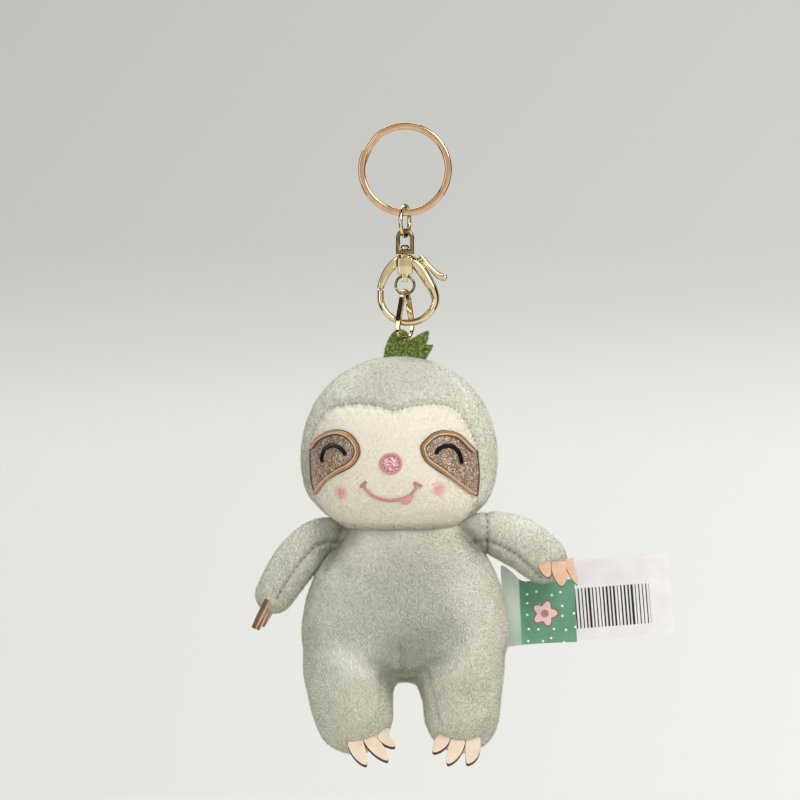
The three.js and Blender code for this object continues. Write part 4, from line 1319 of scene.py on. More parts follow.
brown_glitter = glitter(
    "brown_glitter", colour(80, 60, 46), colour(152, 124, 103), colour(238, 224, 208), flake=0.3)
pink_glitter = glitter(
    "pink_glitter", colour(164, 84, 92), colour(216, 158, 162), colour(252, 234, 232), flake=0.5)
copper_thread = satin("copper_thread", colour(112, 76, 50), colour(222, 178, 136), Metallic=0.35)
# A paler copper thread, used as a painted highlight on the eye borders.
highlight_copper = satin("highlight_copper_thread", colour(176, 132, 96), colour(250, 222, 188), Metallic=0.35)
black_thread = satin("black_thread", colour(14, 12, 12), colour(34, 30, 29))
pink_thread = satin("pink_thread", colour(174, 108, 110), colour(238, 182, 180))
# Rose thread for the mouth's end stitches and for the line of painted shade under the mouth.
rose_thread = satin("rose_thread", colour(158, 104, 98), colour(214, 160, 152))
deep_rose_thread = satin("deep_rose_thread", colour(146, 70, 76), colour(196, 112, 116))
# Dark brown thread for the eyes' edge stitches; beside the borders it is darkened as painted shade.
umber_thread = satin("umber_thread", colour(74, 48, 32), colour(120, 82, 56))
seam_thread = satin("seam_thread", colour(98, 92, 76), colour(138, 130, 112))
print("glitter:", brown_glitter.name, pink_glitter.name)

# %% [markdown]
# A patch is a disc grid: rings that shrink from its outline to its middle, set on the curved face by casting
# every point straight back onto the head, then given a thickness. The brown glitter patches end at the face
# seam on their outer side.

# %% Glitter patches
PATCH_STEP = 0.45


def beside(line, away):
    return line + unit_length(line.mean(axis=0) - line) * away


def patch(name, loop, lift, thickness, rings, dome=0.0):
    centre = loop.mean(axis=0)
    closed = np.vstack((loop, loop[:1]))

    def shape(s, t):
        rim = read_at(closed, np.arange(len(closed)), (s + 1) / 2 * (len(closed) - 1))
        flat = centre + (rim - centre) * t[:, None]
        return on_face(flat, lift) + STRAIGHT_BACK * (-dome * (1 - t**2))[:, None]

    piece = grid_sheet(name, len(loop), rings, shape)
    tidy_mesh(piece, 0.01)
    thicken(piece, thickness)
    tidy_mesh(piece, 0.005)
    smooth(piece, 50)
    return piece


EYE_SEAMS = {
    "left": [(-25.9, -11.9), (-26.9, -8), (-27.2, -4), (-27.2, 2.2)],
    "right": [(25.5, -12.2), (26.1, -8), (26.2, -4), (25.7, 1.9)]}
eye_edges = {}
for side, line in eye_loops.items():
    inner = beside(spaced(line, PATCH_STEP), 0.8)
    eye_edges[side] = inner
    seam_side = spaced(np.array([inner[-1], *EYE_SEAMS[side], inner[0]]), PATCH_STEP)
    rim = np.vstack((inner, seam_side[1:-1]))
    eye = patch(f"eye_glitter_{side}", rim, lift=0.42, thickness=0.4, rings=30)
    paint(eye, brown_glitter)
    place(eye, "plush", "glitter_brown", f"eye_patch_{side}")


def nose_ring(share):
    return NOSE_MIDDLE + (nose_loop - NOSE_MIDDLE) * share


nose = patch("nose_glitter", nose_ring(0.82), lift=0.3, thickness=0.4, dome=0.35, rings=9)
paint(nose, pink_glitter)
place(nose, "plush", "glitter_pink", "nose_patch")

# %% [markdown]
# A satin border is a row of stitches laid side by side over a raised edge. A round cord along the outline
# gives the raised form, and its radius swells and shrinks every quarter of a millimetre, which leaves one
# ridge for each thread. Each eye has a copper border with a bright ridge, whose paler thread is a painted
# highlight, thin dark threads beside it, which are edge stitches darkened as painted shade, a dark thread
# along the seam, and a black curve for the closed lid.

# %% Stitched eyes
THREAD = 0.26


def stitch(name, line, radius, lift, closed=False, ridge=0.09):
    line = spaced(line, THREAD / 4, closed)
    size = 1 + ridge * np.cos(np.arange(len(line)) * math.tau / 4)
    if not closed:
        size *= round_ends(len(line), len(line) * THREAD / 4, radius)
    return wire(name, on_face(line, lift), radius, closed, size, sides=3)


for side, line in eye_edges.items():
    border = stitch(f"eye_satin_{side}", line, radius=0.7, lift=0.45)
    ridge = stitch(f"eye_ridge_{side}", beside(line, 0.35), radius=0.3, lift=1.0)
    paint(border, copper_thread)
    # The ridge's paler thread is a painted highlight along the border.
    paint(ridge, highlight_copper)
    border = joined([border, ridge], f"eye_satin_{side}")
    place(border, "plush", "copper_thread", f"eye_border_{side}")
    outer_edge = spaced(np.array([line[-1], *EYE_SEAMS[side], line[0]]), PATCH_STEP)
    # The two threads beside the border are edge stitches darkened as painted shade; the third runs along the
    # seam.
    edging = joined([
        stitch(f"eye_edging_{side}", beside(line, -0.75), radius=0.24, lift=0.3),
        stitch(f"eye_inner_{side}", beside(line, 0.85), radius=0.2, lift=0.8),
        stitch(f"eye_outer_{side}", outer_edge, radius=0.28, lift=0.6)], f"eye_edging_{side}")
    paint(edging, umber_thread)
    place(edging, "plush", "copper_thread")

EYE_CURVES = {
    "left": [(-22.5, -1.7), (-22.4, 0.4), (-21.4, 2.6), (-18.9, 3.8), (-16.3, 2.8), (-14.4, 0.8)],
    "right": [(13.4, 1.2), (14.7, 3.0), (17.4, 3.8), (19.6, 2.5), (20.8, 0.2), (21.1, -2.1)]}
for side, points in EYE_CURVES.items():
    curve = stitch(f"eye_curve_{side}", smooth_line(points, 120), radius=0.68, lift=0.8, ridge=0.16)
    paint(curve, black_thread)
    place(curve, "plush", "black_thread", f"eye_stitch_{side}")

# %% [markdown]
# The nose has the same border in pink, with short deep-rose dashes on its inner side. The mouth is a pink
# line with a rose thread below it as painted shade and a short stitch across each end, and the tongue is a
# small pink patch.

# %% Stitched nose and mouth
nose_rim = stitch("nose_satin", nose_ring(0.86), radius=0.52, lift=0.3, closed=True)
paint(nose_rim, pink_thread)
nose_inner = nose_ring(0.7)
nose_dashes = joined([
    stitch(f"nose_dash_{k}", nose_inner[k:k + 3], radius=0.13, lift=0.72)
    for k in range(0, len(nose_inner), 4)], "nose_dashes")
paint(nose_dashes, deep_rose_thread)
nose_rim = joined([nose_rim, nose_dashes], "nose_satin")
place(nose_rim, "plush", "pink_thread", "nose_border")

MOUTH = [
    (-9.0, -8.9), (-8.4, -9.9), (-6.3, -11.8), (-3.8, -12.8), (-1.4, -13.2), (1, -13.1), (3.5, -12.6),
    (5.7, -11.5), (7.2, -9.8), (7.9, -8.4)]
TONGUE = [(1.9, -12.8), (4.1, -12.3), (6.4, -11.3), (6.3, -12.8), (5.3, -14.1), (4.0, -14.5), (2.7, -14.1)]
MOUTH_ENDS = [[(-10.4, -9.2), (-9.3, -8.6), (-8.1, -7.4)], [(6.8, -7.5), (8.0, -8.4), (9.4, -8.9)]]
mouth_line = stitch("mouth_line", smooth_line(MOUTH, 200), radius=0.4, lift=0.3, ridge=0.14)
paint(mouth_line, pink_thread)
# The rose thread laid under the mouth line is painted shade; the two end stitches are joined to it.
below_mouth = smooth_line(np.array(MOUTH) - (0, 0.4), 200)
mouth_shade = joined([
    stitch("mouth_shade", below_mouth, radius=0.18, lift=0.35),
    *(stitch("mouth_end", smooth_line(end, 40), radius=0.52, lift=0.25) for end in MOUTH_ENDS)],
    "mouth_shade")
paint(mouth_shade, rose_thread)
mouth = joined([mouth_line, mouth_shade], "mouth_satin")
place(mouth, "plush", "pink_thread", "mouth_stitch")
tongue_loop = smooth_line(TONGUE, 40, closed=True)
tongue = patch("tongue_patch", tongue_loop, lift=0.3, thickness=0.45, dome=0.15, rings=6)
paint(tongue, pink_thread)
place(tongue, "plush", "pink_thread")

# %% [markdown]
# The seam round the face is closed with small dark stitches that show in the groove. One short thread is
# laid from each stitch to the next, and four short ones stand on the chin's lower edge, where they hold its
# pleats.

# %% Seam stitches
STITCH_STEP, STITCH_LONG = 1.5, 0.7
LOWEST_STITCH = -15.5
CHIN_EDGE = -22.6
PLEATS = ((-13.3, -21.3), (-0.5, -21.7), (5.8, -22.1), (11.9, -21.5))
threads = []
seam_places = spaced(face_loop, STITCH_STEP, closed=True)
for k, spot in enumerate(seam_places):
    ahead = seam_places[(k + 1) % len(seam_places)] - spot
    ends = np.linspace(spot, spot + ahead / np.linalg.norm(ahead) * STITCH_LONG, 5)
    if spot[1] > LOWEST_STITCH:
        laid = on_face(ends, lift=0.05)
        threads.append(wire(f"thread_{k}", laid, radius=0.11, swell=(0.5, 0.9, 1, 0.9, 0.5), sides=1))
for x, top in PLEATS:
    laid = on_face(np.linspace((x, top), (x + 0.2, CHIN_EDGE), 5), lift=0.25)
    threads.append(wire(f"pleat_{x}", laid, radius=0.2, swell=(0.4, 0.8, 1, 1, 0.8), sides=1))
seam = joined(threads, "face_seam_stitches")
paint(seam, seam_thread)
place(seam, "plush", "black_thread")

# %% [markdown]
# The arms are closed by a seam along their lower front, whose stitches show as dark dashes in the pile. Each
# dash is laid on the arm by casting its ends straight back onto the cloth.

# %% Arm stitches
DASH_STEP, DASH_LONG, DASH_LIFT = 1.9, 0.9, 0.45
for side, (limb, line, bend_start, bend_end) in arm_seams.items():
    cloth = surface_of(limb)
    paths = [spaced(line[70:168, [0, 2]], DASH_STEP)]
    for fold_x in ARMS[side]["shoulder"]:
        x, y, z = points_of(limb).T
        upright = z[(np.abs(x - fold_x) < 1) & (y < -2)]
        paths.append(spaced(np.array([(fold_x, upright.max()), (fold_x, upright.min())]), DASH_STEP))
    dashes = []
    for path in paths:
        for at, ahead in zip(path, np.gradient(path, axis=0)):
            ends = np.linspace(at, at + ahead / np.linalg.norm(ahead) * DASH_LONG, 4)
            hits = [cloth.ray_cast(Vector((a, RAY_START, b)) * MM, Vector((0, 1, 0))) for a, b in ends]
            if all(spot for spot, _, _, _ in hits):
                laid = np.array([(spot + normal * DASH_LIFT * MM) / MM for spot, normal, _, _ in hits])
                dashes.append(wire(f"dash_{len(dashes)}", laid, radius=0.15, swell=(0.5, 1, 1, 0.5), sides=1))
    dashes = joined(dashes, f"arm_stitches_{side}")
    paint(dashes, seam_thread)
    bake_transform(dashes)
    print(dashes.name, len(dashes.data.polygons), "faces")

# %% [markdown]
# The leaf on the crown is thick green felt: matted wool with no weave. Its outline is drawn with sharp tips,
# filled and made thick. Remeshing gives it even small faces, a clouds texture pushes them in and out, and
# loose fibres stand off it in all directions. A hole lets the bail's prongs through.

# %% Felt leaf
LEAF_THICK = 2.0
LEAF_EDGE = 0.3
LEAF_VOXEL = 0.3
PRONG_HOLE = 1.05
LEAF_LEFT = [
    (-6.6, -8.4), (-6.3, -4.2), (-5.2, -0.9), (-3.6, 1.5), (-2.0, 2.4), (-0.3, 2.2), (1.1, 0.8), (1.5, -0.8)]
LEAF_NOTCH = [(1.2, -2.0)]
LEAF_RIGHT = [(2.4, -0.5), (4.2, 0.5), (5.9, 1.4), (7.6, 2.1)]
LEAF_SIDE = [(7.1, -0.4), (6.5, -2.7)]
LEAF_TIP = [(8.9, -2.4), (8.1, -4.0), (6.8, -6.2), (5.4, -8.4)]

outline = [tuple(p) for p in smooth_line(LEAF_LEFT, 30)] + LEAF_NOTCH
outline += [tuple(p) for p in smooth_line(LEAF_RIGHT, 12)] + LEAF_SIDE + LEAF_TIP
leaf = flat_shape("felt_leaf_blade", [[(x, z + PRONG_Z) for x, z in outline]], LEAF_THICK, LEAF_EDGE)
clear_selection()
bpy.ops.mesh.primitive_cylinder_add(
    vertices=24, radius=PRONG_HOLE * MM, depth=8 * MM, location=(0, 0, PRONG_Z * MM),
    rotation=(math.radians(90), 0, 0))
hole = just_added("prong_hole")
settle(hole)
combined(leaf, hole, "DIFFERENCE")
apply(leaf, "REMESH", mode="VOXEL", voxel_size=LEAF_VOXEL * MM)
wool = bpy.data.textures.new("matted_wool", "CLOUDS")
wool.noise_scale = 0.9 * MM
wool.noise_depth = 3
apply(leaf, "DISPLACE", texture=wool, strength=0.32 * MM, mid_level=0.5, texture_coords="LOCAL")
smooth(leaf)

felt, tree, shader, where = finish_named(
    "leaf_felt", Roughness=0.95, Sheen_Weight=0.2, Specular_IOR_Level=0.1)
strand = put(tree, "Attribute", attribute_name="tone").outputs["Fac"]
matted = sums(tree, "MULTIPLY_ADD", strand, 0.16, grain(tree, where, 0.9, detail=5.0, roughness=0.7))
colour_from(tree, shader, ramp(
    tree, matted, (0.36, colour(72, 90, 28)), (0.5, colour(118, 138, 58)), (0.66, colour(178, 198, 112))))
bumped(tree, shader, grain(tree, where, 0.3, detail=4.0, roughness=0.7), depth=0.15)
paint(leaf, felt)
place(leaf, "plush", "felt", "felt_leaf")
fuzz = grow_pile(
    leaf, "felt_fuzz", felt, np.ones(len(leaf.data.vertices)), density=16.0, length=0.75,
    stand=0.25, comb=(0, 0, 0), mess=0.6, seed=5)
place(fuzz, "plush", "felt")
bpy.data.objects.remove(fibre)

# %% [markdown]
# Three flat claws on each hand and foot are cut from thick pale hide, whose cut edge is scorched dark. The
# hide is a warm pale tone, spoiled a little by pores and by wide soft patches. One recipe makes the two hides
# and the two edges. The hands' hide is a darker tan copy of the feet's, which is painted shade.

# %% Hide finishes
def hide_finish(name, deep, bright):
    made, tree, shader, where = finish_named(name, Roughness=0.55, Specular_IOR_Level=0.4)
    pores = grain(tree, where, 0.5, detail=5.0, roughness=0.7)
    patches = grain(tree, where, 4.0)
    both = sums(tree, "MULTIPLY_ADD", pores, 0.5, sums(tree, "MULTIPLY", patches, 0.5))
    colour_from(tree, shader, two_tone(tree, both, deep, bright))
    roughness_from(tree, shader, level(tree, pores, 0.45, 0.7))
    bumped(tree, shader, pores, depth=0.05, strength=0.6)
    return made


claw_hide = hide_finish("claw_hide", colour(224, 199, 175), colour(245, 229, 211))
# The hands' hide: the same hide darkened as painted shade.
hand_hide_painted_shade = hide_finish("hand_hide_painted_shade", colour(204, 164, 134), colour(232, 196, 168))
scorched = hide_finish("scorched_edge", colour(58, 36, 24), colour(104, 66, 44))
singed = hide_finish("singed_edge", colour(84, 58, 42), colour(142, 104, 80))
print("hides:", claw_hide.name, hand_hide_painted_shade.name, scorched.name, singed.name)

# %% [markdown]
# Each claw is a drawn blade: two curves that meet at the tip. The blades are filled and thickened, the faces
# of the cut edge are given their own dark finish, and the sheet is leaned forward at its root.

# %% Claw blades
CLAW_THICK = 1.55
CLAW_EDGE = 0.12
CLAW_OVERLAP = 0.12
ROOT_LIFT = np.array((0, 2.4))


def blade(root_left, root_right, tip, swell_left, swell_right):
    a, b, c = (np.array(p, float) for p in (root_left, root_right, tip))
    left, right = (a + c) / 2 + np.array(swell_left), (b + c) / 2 + np.array(swell_right)
    t = np.array((0, 0.2, 0.4, 0.6, 0.8))[:, None]
    down = (1 - t) ** 2 * a + 2 * t * (1 - t) * left + t**2 * c
    up = (1 - t) ** 2 * b + 2 * t * (1 - t) * right + t**2 * c
    shoulder = (down[-1] + up[-1]) / 2
    blunt = shoulder + (c - shoulder) * 0.6
    rounded = smooth_line(np.vstack((down, blunt, up[::-1])), 30)
    return [tuple(a + ROOT_LIFT), *map(tuple, rounded), tuple(b + ROOT_LIFT)]


def claw_plate(name, blades, lean, root_z, hide, edge):
    stretch = 1 / math.cos(math.radians(lean))
    plates = []
    for k, corners in enumerate(blades):
        drawn = [(x, (z - root_z) * stretch) for x, z in blade(*corners)]
        plate = flat_shape(f"{name}_{k}", [drawn], CLAW_THICK, CLAW_EDGE)
        paint(plate, hide, edge)
        for face in plate.data.polygons:
            face.material_index = int(abs(face.normal.y) < 0.7)
        lowered = points_of(plate)
        lowered[:, 1] += CLAW_OVERLAP * k
        move_points(plate, lowered)
        plates.append(plate)
    return joined(plates, name)


def leaned(plate, lean, origin):
    c, s = math.cos(math.radians(lean)), math.sin(math.radians(lean))
    x, y, z = points_of(plate).T
    move_points(plate, np.column_stack((x, y * c + z * s, z * c - y * s)) + np.array(origin))


# %% [markdown]
# The feet's claws lean well forward and the right hand's a little. The left hand is seen edge-on, so its
# claws are drawn flat and then set along the arm by three directions: down the arm, across it and through it.

# %% Feet and hands
FOOT_LEAN, FOOT_Y, FOOT_Z = 42.0, -10.9, -195.2
FEET = {
    "left": [
        ((-18.2, -197.3), (-13.5, -195.7), (-11.9, -203.3), (-1.2, -1.7), (0.6, 0.2)),
        ((-13.4, -195.6), (-9.0, -194.9), (-5.0, -202.0), (-1.3, -1.6), (1.5, 0.5)),
        ((-8.9, -194.8), (-5.0, -194.2), (-3.0, -197.6), (-0.8, -1.2), (0.8, 0.4))],
    "right": [
        ((10.8, -193.9), (14.4, -195.4), (8.7, -199.5), (-1.4, 0.3), (1.6, -1.2)),
        ((14.6, -195.4), (19.2, -196.4), (13.2, -203.0), (-1.0, 0.3), (1.7, -1.5)),
        ((19.4, -196.4), (24.1, -196.7), (19.5, -202.8), (-0.5, 0.2), (2.4, -1.6))]}
for side, blades in FEET.items():
    claws = claw_plate(f"foot_hide_{side}", blades, FOOT_LEAN, FOOT_Z, claw_hide, scorched)
    leaned(claws, FOOT_LEAN, (0, FOOT_Y, FOOT_Z))
    smooth(claws, 35)
    place(claws, "plush", "claw_hide", f"foot_claws_{side}")

HAND_LEAN, HAND_Y, HAND_Z = 16.0, -6.9, -140.5
RIGHT_HAND = [
    ((42.6, -139.9), (46.7, -141.0), (45.7, -143.6), (-0.3, -1.1), (0.9, -0.4)),
    ((46.8, -140.8), (51.6, -140.8), (50.1, -146.6), (-0.8, -0.9), (1.7, -0.6)),
    ((51.4, -140.2), (54.0, -139.4), (55.2, -146.2), (-0.4, -0.7), (0.8, 0.3))]
# The right hand's claws are painted with the hide darkened as painted shade.
claws = claw_plate("hand_hide_right", RIGHT_HAND, HAND_LEAN, HAND_Z, hand_hide_painted_shade, scorched)
leaned(claws, HAND_LEAN, (0, HAND_Y, HAND_Z))
smooth(claws, 35)
place(claws, "arm_right", "claw_hide", "hand_claws_right")

LEFT_HAND = [
    ((-5.2, 0), (-1.7, 0.4), (-3.9, -8.6), (-0.9, -0.8), (1.2, -0.4)),
    ((-1.6, 0.4), (1.9, 0.4), (0.2, -9.4), (-1.1, -0.6), (1.1, -0.6)),
    ((2.0, 0.4), (5.4, 0), (3.9, -8.4), (-1.2, -0.4), (0.9, -0.8))]
LEFT_ROOT = np.array((-43.8, -0.4, -152.8))
HAND_DOWN = Vector((-0.447, 0.0, -0.894))
HAND_ACROSS = Vector((0.3, 0.954, 0.0)).normalized()
# The left hand's claws are painted with the hide darkened as painted shade too.
claws = claw_plate("hand_hide_left", LEFT_HAND, 0.0, 0.0, hand_hide_painted_shade, singed)
through = HAND_DOWN.cross(HAND_ACROSS).normalized()
side_on = points_of(claws)
move_points(claws, LEFT_ROOT + side_on[:, :1] * np.array(HAND_ACROSS)
            + side_on[:, 1:2] * np.array(through) - side_on[:, 2:] * np.array(HAND_DOWN))
face_outwards(claws)
smooth(claws, 35)
place(claws, "arm_left", "claw_hide", "hand_claws_left")

# %% [markdown]
# The label is two leaves of coated paper cloth, sewn into the side seam. Only their fronts are printed. The
# print is drawn on each leaf's own map, turned into millimetres, and each shape in it is a distance that is
# cut off softly at the shape's edge.

# %% Label helpers
def on_leaf(tree, height, length):
    spot = put(tree, "TexCoord").outputs["UV"]
    return put(tree, "Mapping", {"Vector": spot, "Scale": (height, length, 1.0)}).outputs["Vector"]


def step_at(tree, value, edge, soft):
    return level(tree, value, 1.0, 0.0, edge - soft, edge + soft, "SMOOTHSTEP")


def within(tree, value, middle, half, soft):
    return step_at(tree, sums(tree, "ABSOLUTE", sums(tree, "SUBTRACT", value, middle)), half, soft)


FRONT_LEAF = dict(
    height=20.3, middle=6.3, tilt=2.5, path=[(-1, 0), (2.6, 0.3), (7, 1.8), (22.6, 1.4)], top=(5.5, 0, 8))
BACK_LEAF = dict(
    height=25.8, middle=8.4, tilt=4.6, path=[(-1, 0.75), (2.6, 1.2), (8, 4.2), (24, 6.2), (54, 4.6)],
    top=(-6.8, 13, 25))
LABEL_STEP = 0.5


def leaf_line(size):
    return spaced(smooth_line(size["path"], 240), LABEL_STEP)


def leaf_length(size):
    return LABEL_STEP * (len(leaf_line(size)) - 1)


def coated(name):
    made, tree, shader, where = finish_named(name, Roughness=0.4, Specular_IOR_Level=0.45)
    fibres = grain(tree, where, 0.6, detail=4.0, roughness=0.6)
    roughness_from(tree, shader, level(tree, fibres, 0.32, 0.5))
    bumped(tree, shader, fibres, depth=0.02, strength=0.5)
    return made, tree, shader, where


front_long, back_long = leaf_length(FRONT_LEAF), leaf_length(BACK_LEAF)
print("label leaves", front_long, "and", back_long, "mm long")

# %% [markdown]
# The green leaf has scattered white dots and one flower with five petals, whose rim swings in and out with
# the angle about its middle. Near the seam the leaf is paler, a grey green low down that turns near white
# towards its top edge.

# %% Green print
DOTS_PER_MM, DOT_RADIUS = 0.26, 0.105
FLOWER = (9.6, 14.0)
PETALS, PETAL_MIDDLE, PETAL_SWING, PETAL_LINE, FLOWER_EYE = 5.0, 3.3, 0.75, 0.55, 1.25
PALE_UNTIL = 6.0
DOT_BLUR, FLOWER_BLUR, PALE_BLUR = 0.02, 0.12, 0.25

green_print, tree, shader, where = coated("green_print")
spot = on_leaf(tree, FRONT_LEAF["height"], front_long)
axes = put(tree, "SeparateXYZ", {"Vector": spot}).outputs
tone = two_tone(tree, grain(tree, where, 5.0), colour(88, 146, 114), colour(110, 160, 130))
dots = put(tree, "TexVoronoi", {
    "Vector": spot, "Scale": DOTS_PER_MM, "Randomness": 0.45}, voronoi_dimensions="2D").outputs["Distance"]
tone = mixed(tree, step_at(tree, dots, DOT_RADIUS, DOT_BLUR), tone, colour(232, 240, 232))
across = sums(tree, "SUBTRACT", axes["X"], FLOWER[0])
outward = sums(tree, "SUBTRACT", axes["Y"], FLOWER[1])
far = sums(tree, "SQRT", sums(tree, "MULTIPLY_ADD", across, across, sums(tree, "MULTIPLY", outward, outward)))
angle = sums(tree, "ARCTAN2", across, outward)
petals = sums(tree, "COSINE", sums(tree, "MULTIPLY", angle, PETALS))
reach = sums(tree, "MULTIPLY_ADD", petals, PETAL_SWING, PETAL_MIDDLE)
past = sums(tree, "SUBTRACT", far, reach)
tone = mixed(tree, step_at(tree, past, PETAL_LINE, FLOWER_BLUR), tone, colour(150, 92, 96))
tone = mixed(tree, step_at(tree, past, 0.0, FLOWER_BLUR), tone, colour(238, 206, 202))
tone = mixed(tree, step_at(tree, far, FLOWER_EYE, FLOWER_BLUR), tone, colour(196, 128, 128))
pale = step_at(tree, axes["Y"], PALE_UNTIL, PALE_BLUR)
upward = sums(tree, "MULTIPLY", axes["X"], 1 / FRONT_LEAF["height"])
# Near the seam the tone runs from grey green at the bottom to near white at the top.
seam_side_tone = ramp(tree, upward, (0.1, colour(164, 187, 172)), (0.75, colour(216, 226, 219)))
colour_from(tree, shader, mixed(tree, pale, tone, seam_side_tone))

# %% [markdown]
# The white leaf has a band of dark bars. White noise, read once for each step along the leaf, gives each bar
# a width of its own. The plain paper serves the backs of both leaves.

# %% White print and plain paper
BAR_STEP, BAR_HALF, BAR_CHANCE, BAR_BLUR = 1.15, 0.1, 0.28, 0.03
BARS_ALONG, BARS_ACROSS = (36.4, 12.3), (10.2, 6.5)

white_print, tree, shader, where = coated("white_print")
spot = on_leaf(tree, BACK_LEAF["height"], back_long)
axes = put(tree, "SeparateXYZ", {"Vector": spot}).outputs
paper = two_tone(tree, grain(tree, where, 6.0), colour(229, 225, 228), colour(238, 235, 236))
places = sums(tree, "MULTIPLY", axes["Y"], 1 / BAR_STEP)
chance = put(
    tree, "TexWhiteNoise", {"W": sums(tree, "FLOOR", places)}, noise_dimensions="1D").outputs["Value"]
off_middle = sums(tree, "ABSOLUTE", sums(tree, "SUBTRACT", sums(tree, "FRACT", places), 0.5))
bar = step_at(tree, sums(tree, "MULTIPLY_ADD", chance, -BAR_CHANCE, off_middle), BAR_HALF, BAR_BLUR)
inside = within(tree, axes["Y"], *BARS_ALONG, soft=0.05)
band = within(tree, axes["X"], *BARS_ACROSS, soft=0.08)
bars = sums(tree, "MULTIPLY", bar, sums(tree, "MULTIPLY", inside, band))
colour_from(tree, shader, mixed(tree, bars, paper, colour(24, 22, 24)))

plain_paper, tree, shader, where = coated("plain_paper")
tooth = grain(tree, where, 6.0)
colour_from(tree, shader, two_tone(tree, tooth, colour(226, 222, 224), colour(236, 233, 234)))
print("prints:", green_print.name, white_print.name, plain_paper.name)

# %% [markdown]
# Each leaf is a grid laid along a gently bent line, tilted as the label hangs, and given a thin wall by
# Solidify. A slight wave keeps it from looking like a board. The top edge rises or falls a little near the
# seam, and the faces that look backward get the plain paper.

# %% Label leaves
LABEL_SEAM = np.array((32.3, 5.5, 0.0)) + BODY_MIDDLE
LEAF_THIN = 0.28


def label_leaf(name, size, made, wave):
    line = leaf_line(size)
    tilt = math.radians(size["tilt"])

    def shape(s, t):
        x, y = read_at(line, np.arange(len(line)), t * (len(line) - 1)).T
        raised, until, even_from = size["top"]
        along = t * LABEL_STEP * (len(line) - 1)
        up = s * size["height"] / 2 + raised * eased(-along, -even_from, -until) * eased(s, -1, 1)
        y = y + wave * np.sin(t * 5.0 + s * 1.1) * t
        turned_x = x * math.cos(tilt) - up * math.sin(tilt)
        turned_z = x * math.sin(tilt) + up * math.cos(tilt)
        return LABEL_SEAM + np.column_stack((turned_x, y, turned_z + size["middle"]))

    piece = grid_sheet(name, 28, len(line), shape)
    face_outwards(piece)
    thicken(piece, LEAF_THIN)
    smooth(piece, 40)
    paint(piece, made, plain_paper)
    for face in piece.data.polygons:
        face.material_index = int(face.normal.y > -0.2)
    return piece


label_front = label_leaf("label_leaf_front", FRONT_LEAF, green_print, wave=0.15)
place(label_front, "label", "label_green", "label_front")
label_back = label_leaf("label_leaf_back", BACK_LEAF, white_print, wave=0.5)
place(label_back, "label", "label_white", "label_back")

# %% [markdown]
# The stage is plain: a pale round floor of paper well below the hanging toy. It fades out at its rim, so that
# no edge shows against the background.

# %% Floor
FLOOR_Z = -245.0
FLOOR_RADIUS = 330.0
FADE_FROM, FADE_TO = 0.36, 0.41

clear_selection()
bpy.ops.mesh.primitive_circle_add(
    vertices=96, radius=FLOOR_RADIUS * MM, fill_type="NGON", location=(0, 0, FLOOR_Z * MM))
floor = just_added("floor")
settle(floor)
with editing(floor):
    bpy.ops.mesh.inset(thickness=60 * MM)
floor_paper, tree, shader, where = finish_named("floor_paper", Roughness=0.9)
tooth = grain(tree, where, 2.0)
colour_from(tree, shader, two_tone(tree, tooth, colour(226, 227, 220), colour(232, 233, 226)))
outwards = put(tree, "VectorMath", {0: where}, operation="LENGTH").outputs["Value"]
tree.links.new(level(tree, outwards, 1.0, 0.0, FADE_FROM, FADE_TO), shader.inputs["Alpha"])
paint(floor, floor_paper)
print("floor", FLOOR_RADIUS * 2, "mm across")

# %% [markdown]
# Bright metal is only as good as what it mirrors. Dark cards stand to the left and right of the toy, above it
# and low in front, where the camera doesn't see them, so that the polished edges pick up thin dark lines
# between the bright ones, as in a real studio.

# %% Cards
card_cloth, tree, shader, where = finish_named("card_cloth", Roughness=1.0, Specular_IOR_Level=0.0)
weave = grain(tree, where, 4.0)
colour_from(tree, shader, two_tone(tree, weave, colour(34, 32, 30), colour(46, 43, 40)))
CARDS_FACE = Vector((0, 0, -0.05))
CARDS = {
    "card_left": ((-1.15, -0.15, 0.0), (1.7, 1.6)),
    "card_right": ((1.15, 0.0, 0.0), (1.4, 1.6)),
    "card_above": ((0.0, -0.2, 1.15), (1.6, 1.5)),
    "card_low": ((0.0, -0.75, -0.8), (1.2, 0.4))}
for name, (place_at, size) in CARDS.items():
    clear_selection()
    bpy.ops.mesh.primitive_plane_add(size=1)
    card = just_added(name)
    card.scale = (*size, 1)
    card.location = place_at
    card.rotation_mode = "QUATERNION"
    card.rotation_quaternion = (CARDS_FACE - Vector(place_at)).to_track_quat("Z", "Y")
    settle(card)
    with editing(card):
        bpy.ops.mesh.subdivide(number_cuts=2)
    card.visible_camera = False
    card.visible_diffuse = False
    card.visible_shadow = False
    paint(card, card_cloth)
print("cards:", list(CARDS))

# %% [markdown]
# The world runs from near white low down to a soft grey higher up, as a paper sweep does. Only the camera and
# mirrored rays see it so; what lights the toy is plain and even, a little stronger from the right. The lamps
# are large and soft, and set so that a colour renders about as it is written.

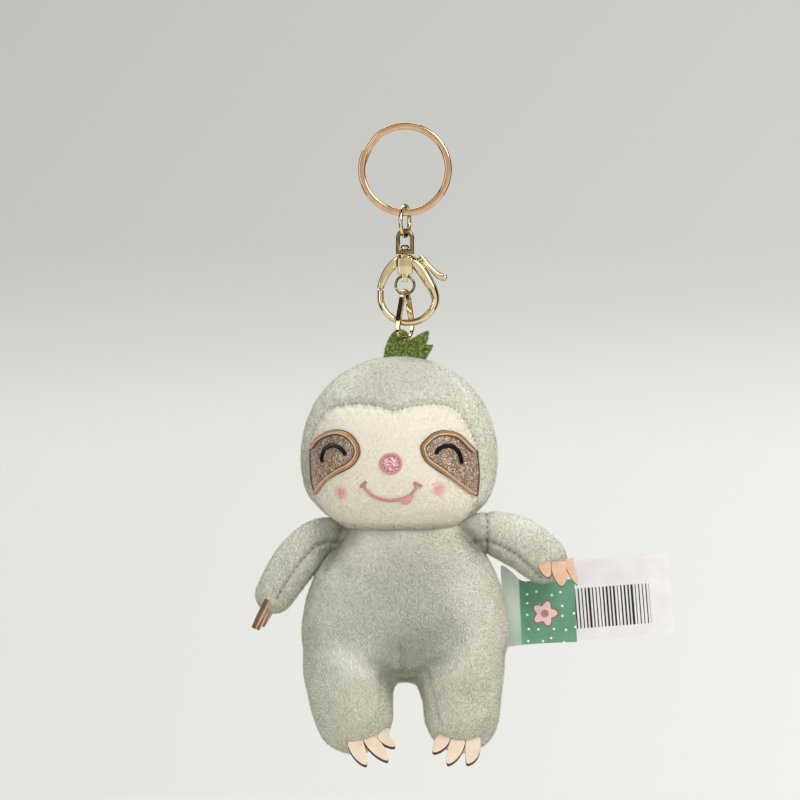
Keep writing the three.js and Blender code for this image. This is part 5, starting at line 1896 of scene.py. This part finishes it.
# %% World and lamps
LIGHT_LEFT, LIGHT_RIGHT, LIGHT_SPREAD = 0.46, 0.82, 0.9
SEEN_LEFT, SEEN_RIGHT, SEEN_SPREAD = 0.92, 1.045, 0.075
LIGHT_TINT = (1.0, 0.99, 0.965, 1.0)
PAPER_LOW, PAPER_HIGH = -0.105, 0.05
PAPER = [(0.0, 236), (0.36, 235), (0.45, 234), (0.51, 229), (0.57, 220), (0.63, 211), (0.7, 204), (1.0, 201)]
LAMPS_FACE = Vector((0, 0, -0.1))

world = bpy.data.worlds.new("studio")
bpy.context.scene.world = world
world.use_nodes = True
tree = world.node_tree
lit = tree.nodes["Background"]
lit.inputs["Color"].default_value = LIGHT_TINT
heading = put(tree, "TexCoord").outputs["Generated"]
axes = put(tree, "SeparateXYZ", {"Vector": heading}).outputs
strength = level(tree, axes["X"], LIGHT_LEFT, LIGHT_RIGHT, -LIGHT_SPREAD, LIGHT_SPREAD)
tree.links.new(strength, lit.inputs["Strength"])
sweep = level(tree, axes["Z"], 0.0, 1.0, PAPER_LOW, PAPER_HIGH)
paper = ramp(tree, sweep, *((stop, colour(tone, tone + 1, tone - 5)) for stop, tone in PAPER))
to_right = level(tree, axes["X"], SEEN_LEFT, SEEN_RIGHT, -SEEN_SPREAD, SEEN_SPREAD)
seen = put(tree, "Background", {"Color": paper, "Strength": to_right}).outputs["Background"]
rays = put(tree, "LightPath").outputs
direct = sums(tree, "MAXIMUM", rays["Is Camera Ray"], rays["Is Transmission Ray"])
direct = sums(tree, "MAXIMUM", direct, rays["Is Glossy Ray"])
both = put(tree, "MixShader", {0: direct, 1: lit.outputs["Background"], 2: seen})
tree.links.new(both.outputs["Shader"], tree.nodes["World Output"].inputs["Surface"])


def lamp(name, place_at, size, power, tint=(1.0, 1.0, 1.0)):
    data = bpy.data.lights.new(name, "AREA")
    data.shape = "RECTANGLE"
    data.size, data.size_y = size
    data.energy = power
    data.color = tint
    made = bpy.data.objects.new(name, data)
    bpy.context.scene.collection.objects.link(made)
    made.location = place_at
    made.rotation_mode = "QUATERNION"
    made.rotation_quaternion = (LAMPS_FACE - made.location).to_track_quat("-Z", "Y")


lamp("key_softbox", (0.55, -0.75, 0.45), size=(0.5, 0.6), power=5.6, tint=(1.0, 0.985, 0.95))
lamp("fill_softbox", (-0.8, -0.6, 0.05), size=(0.5, 0.7), power=1.8)
lamp("top_strip", (-0.1, 0.35, 0.65), size=(0.7, 0.25), power=3.0)
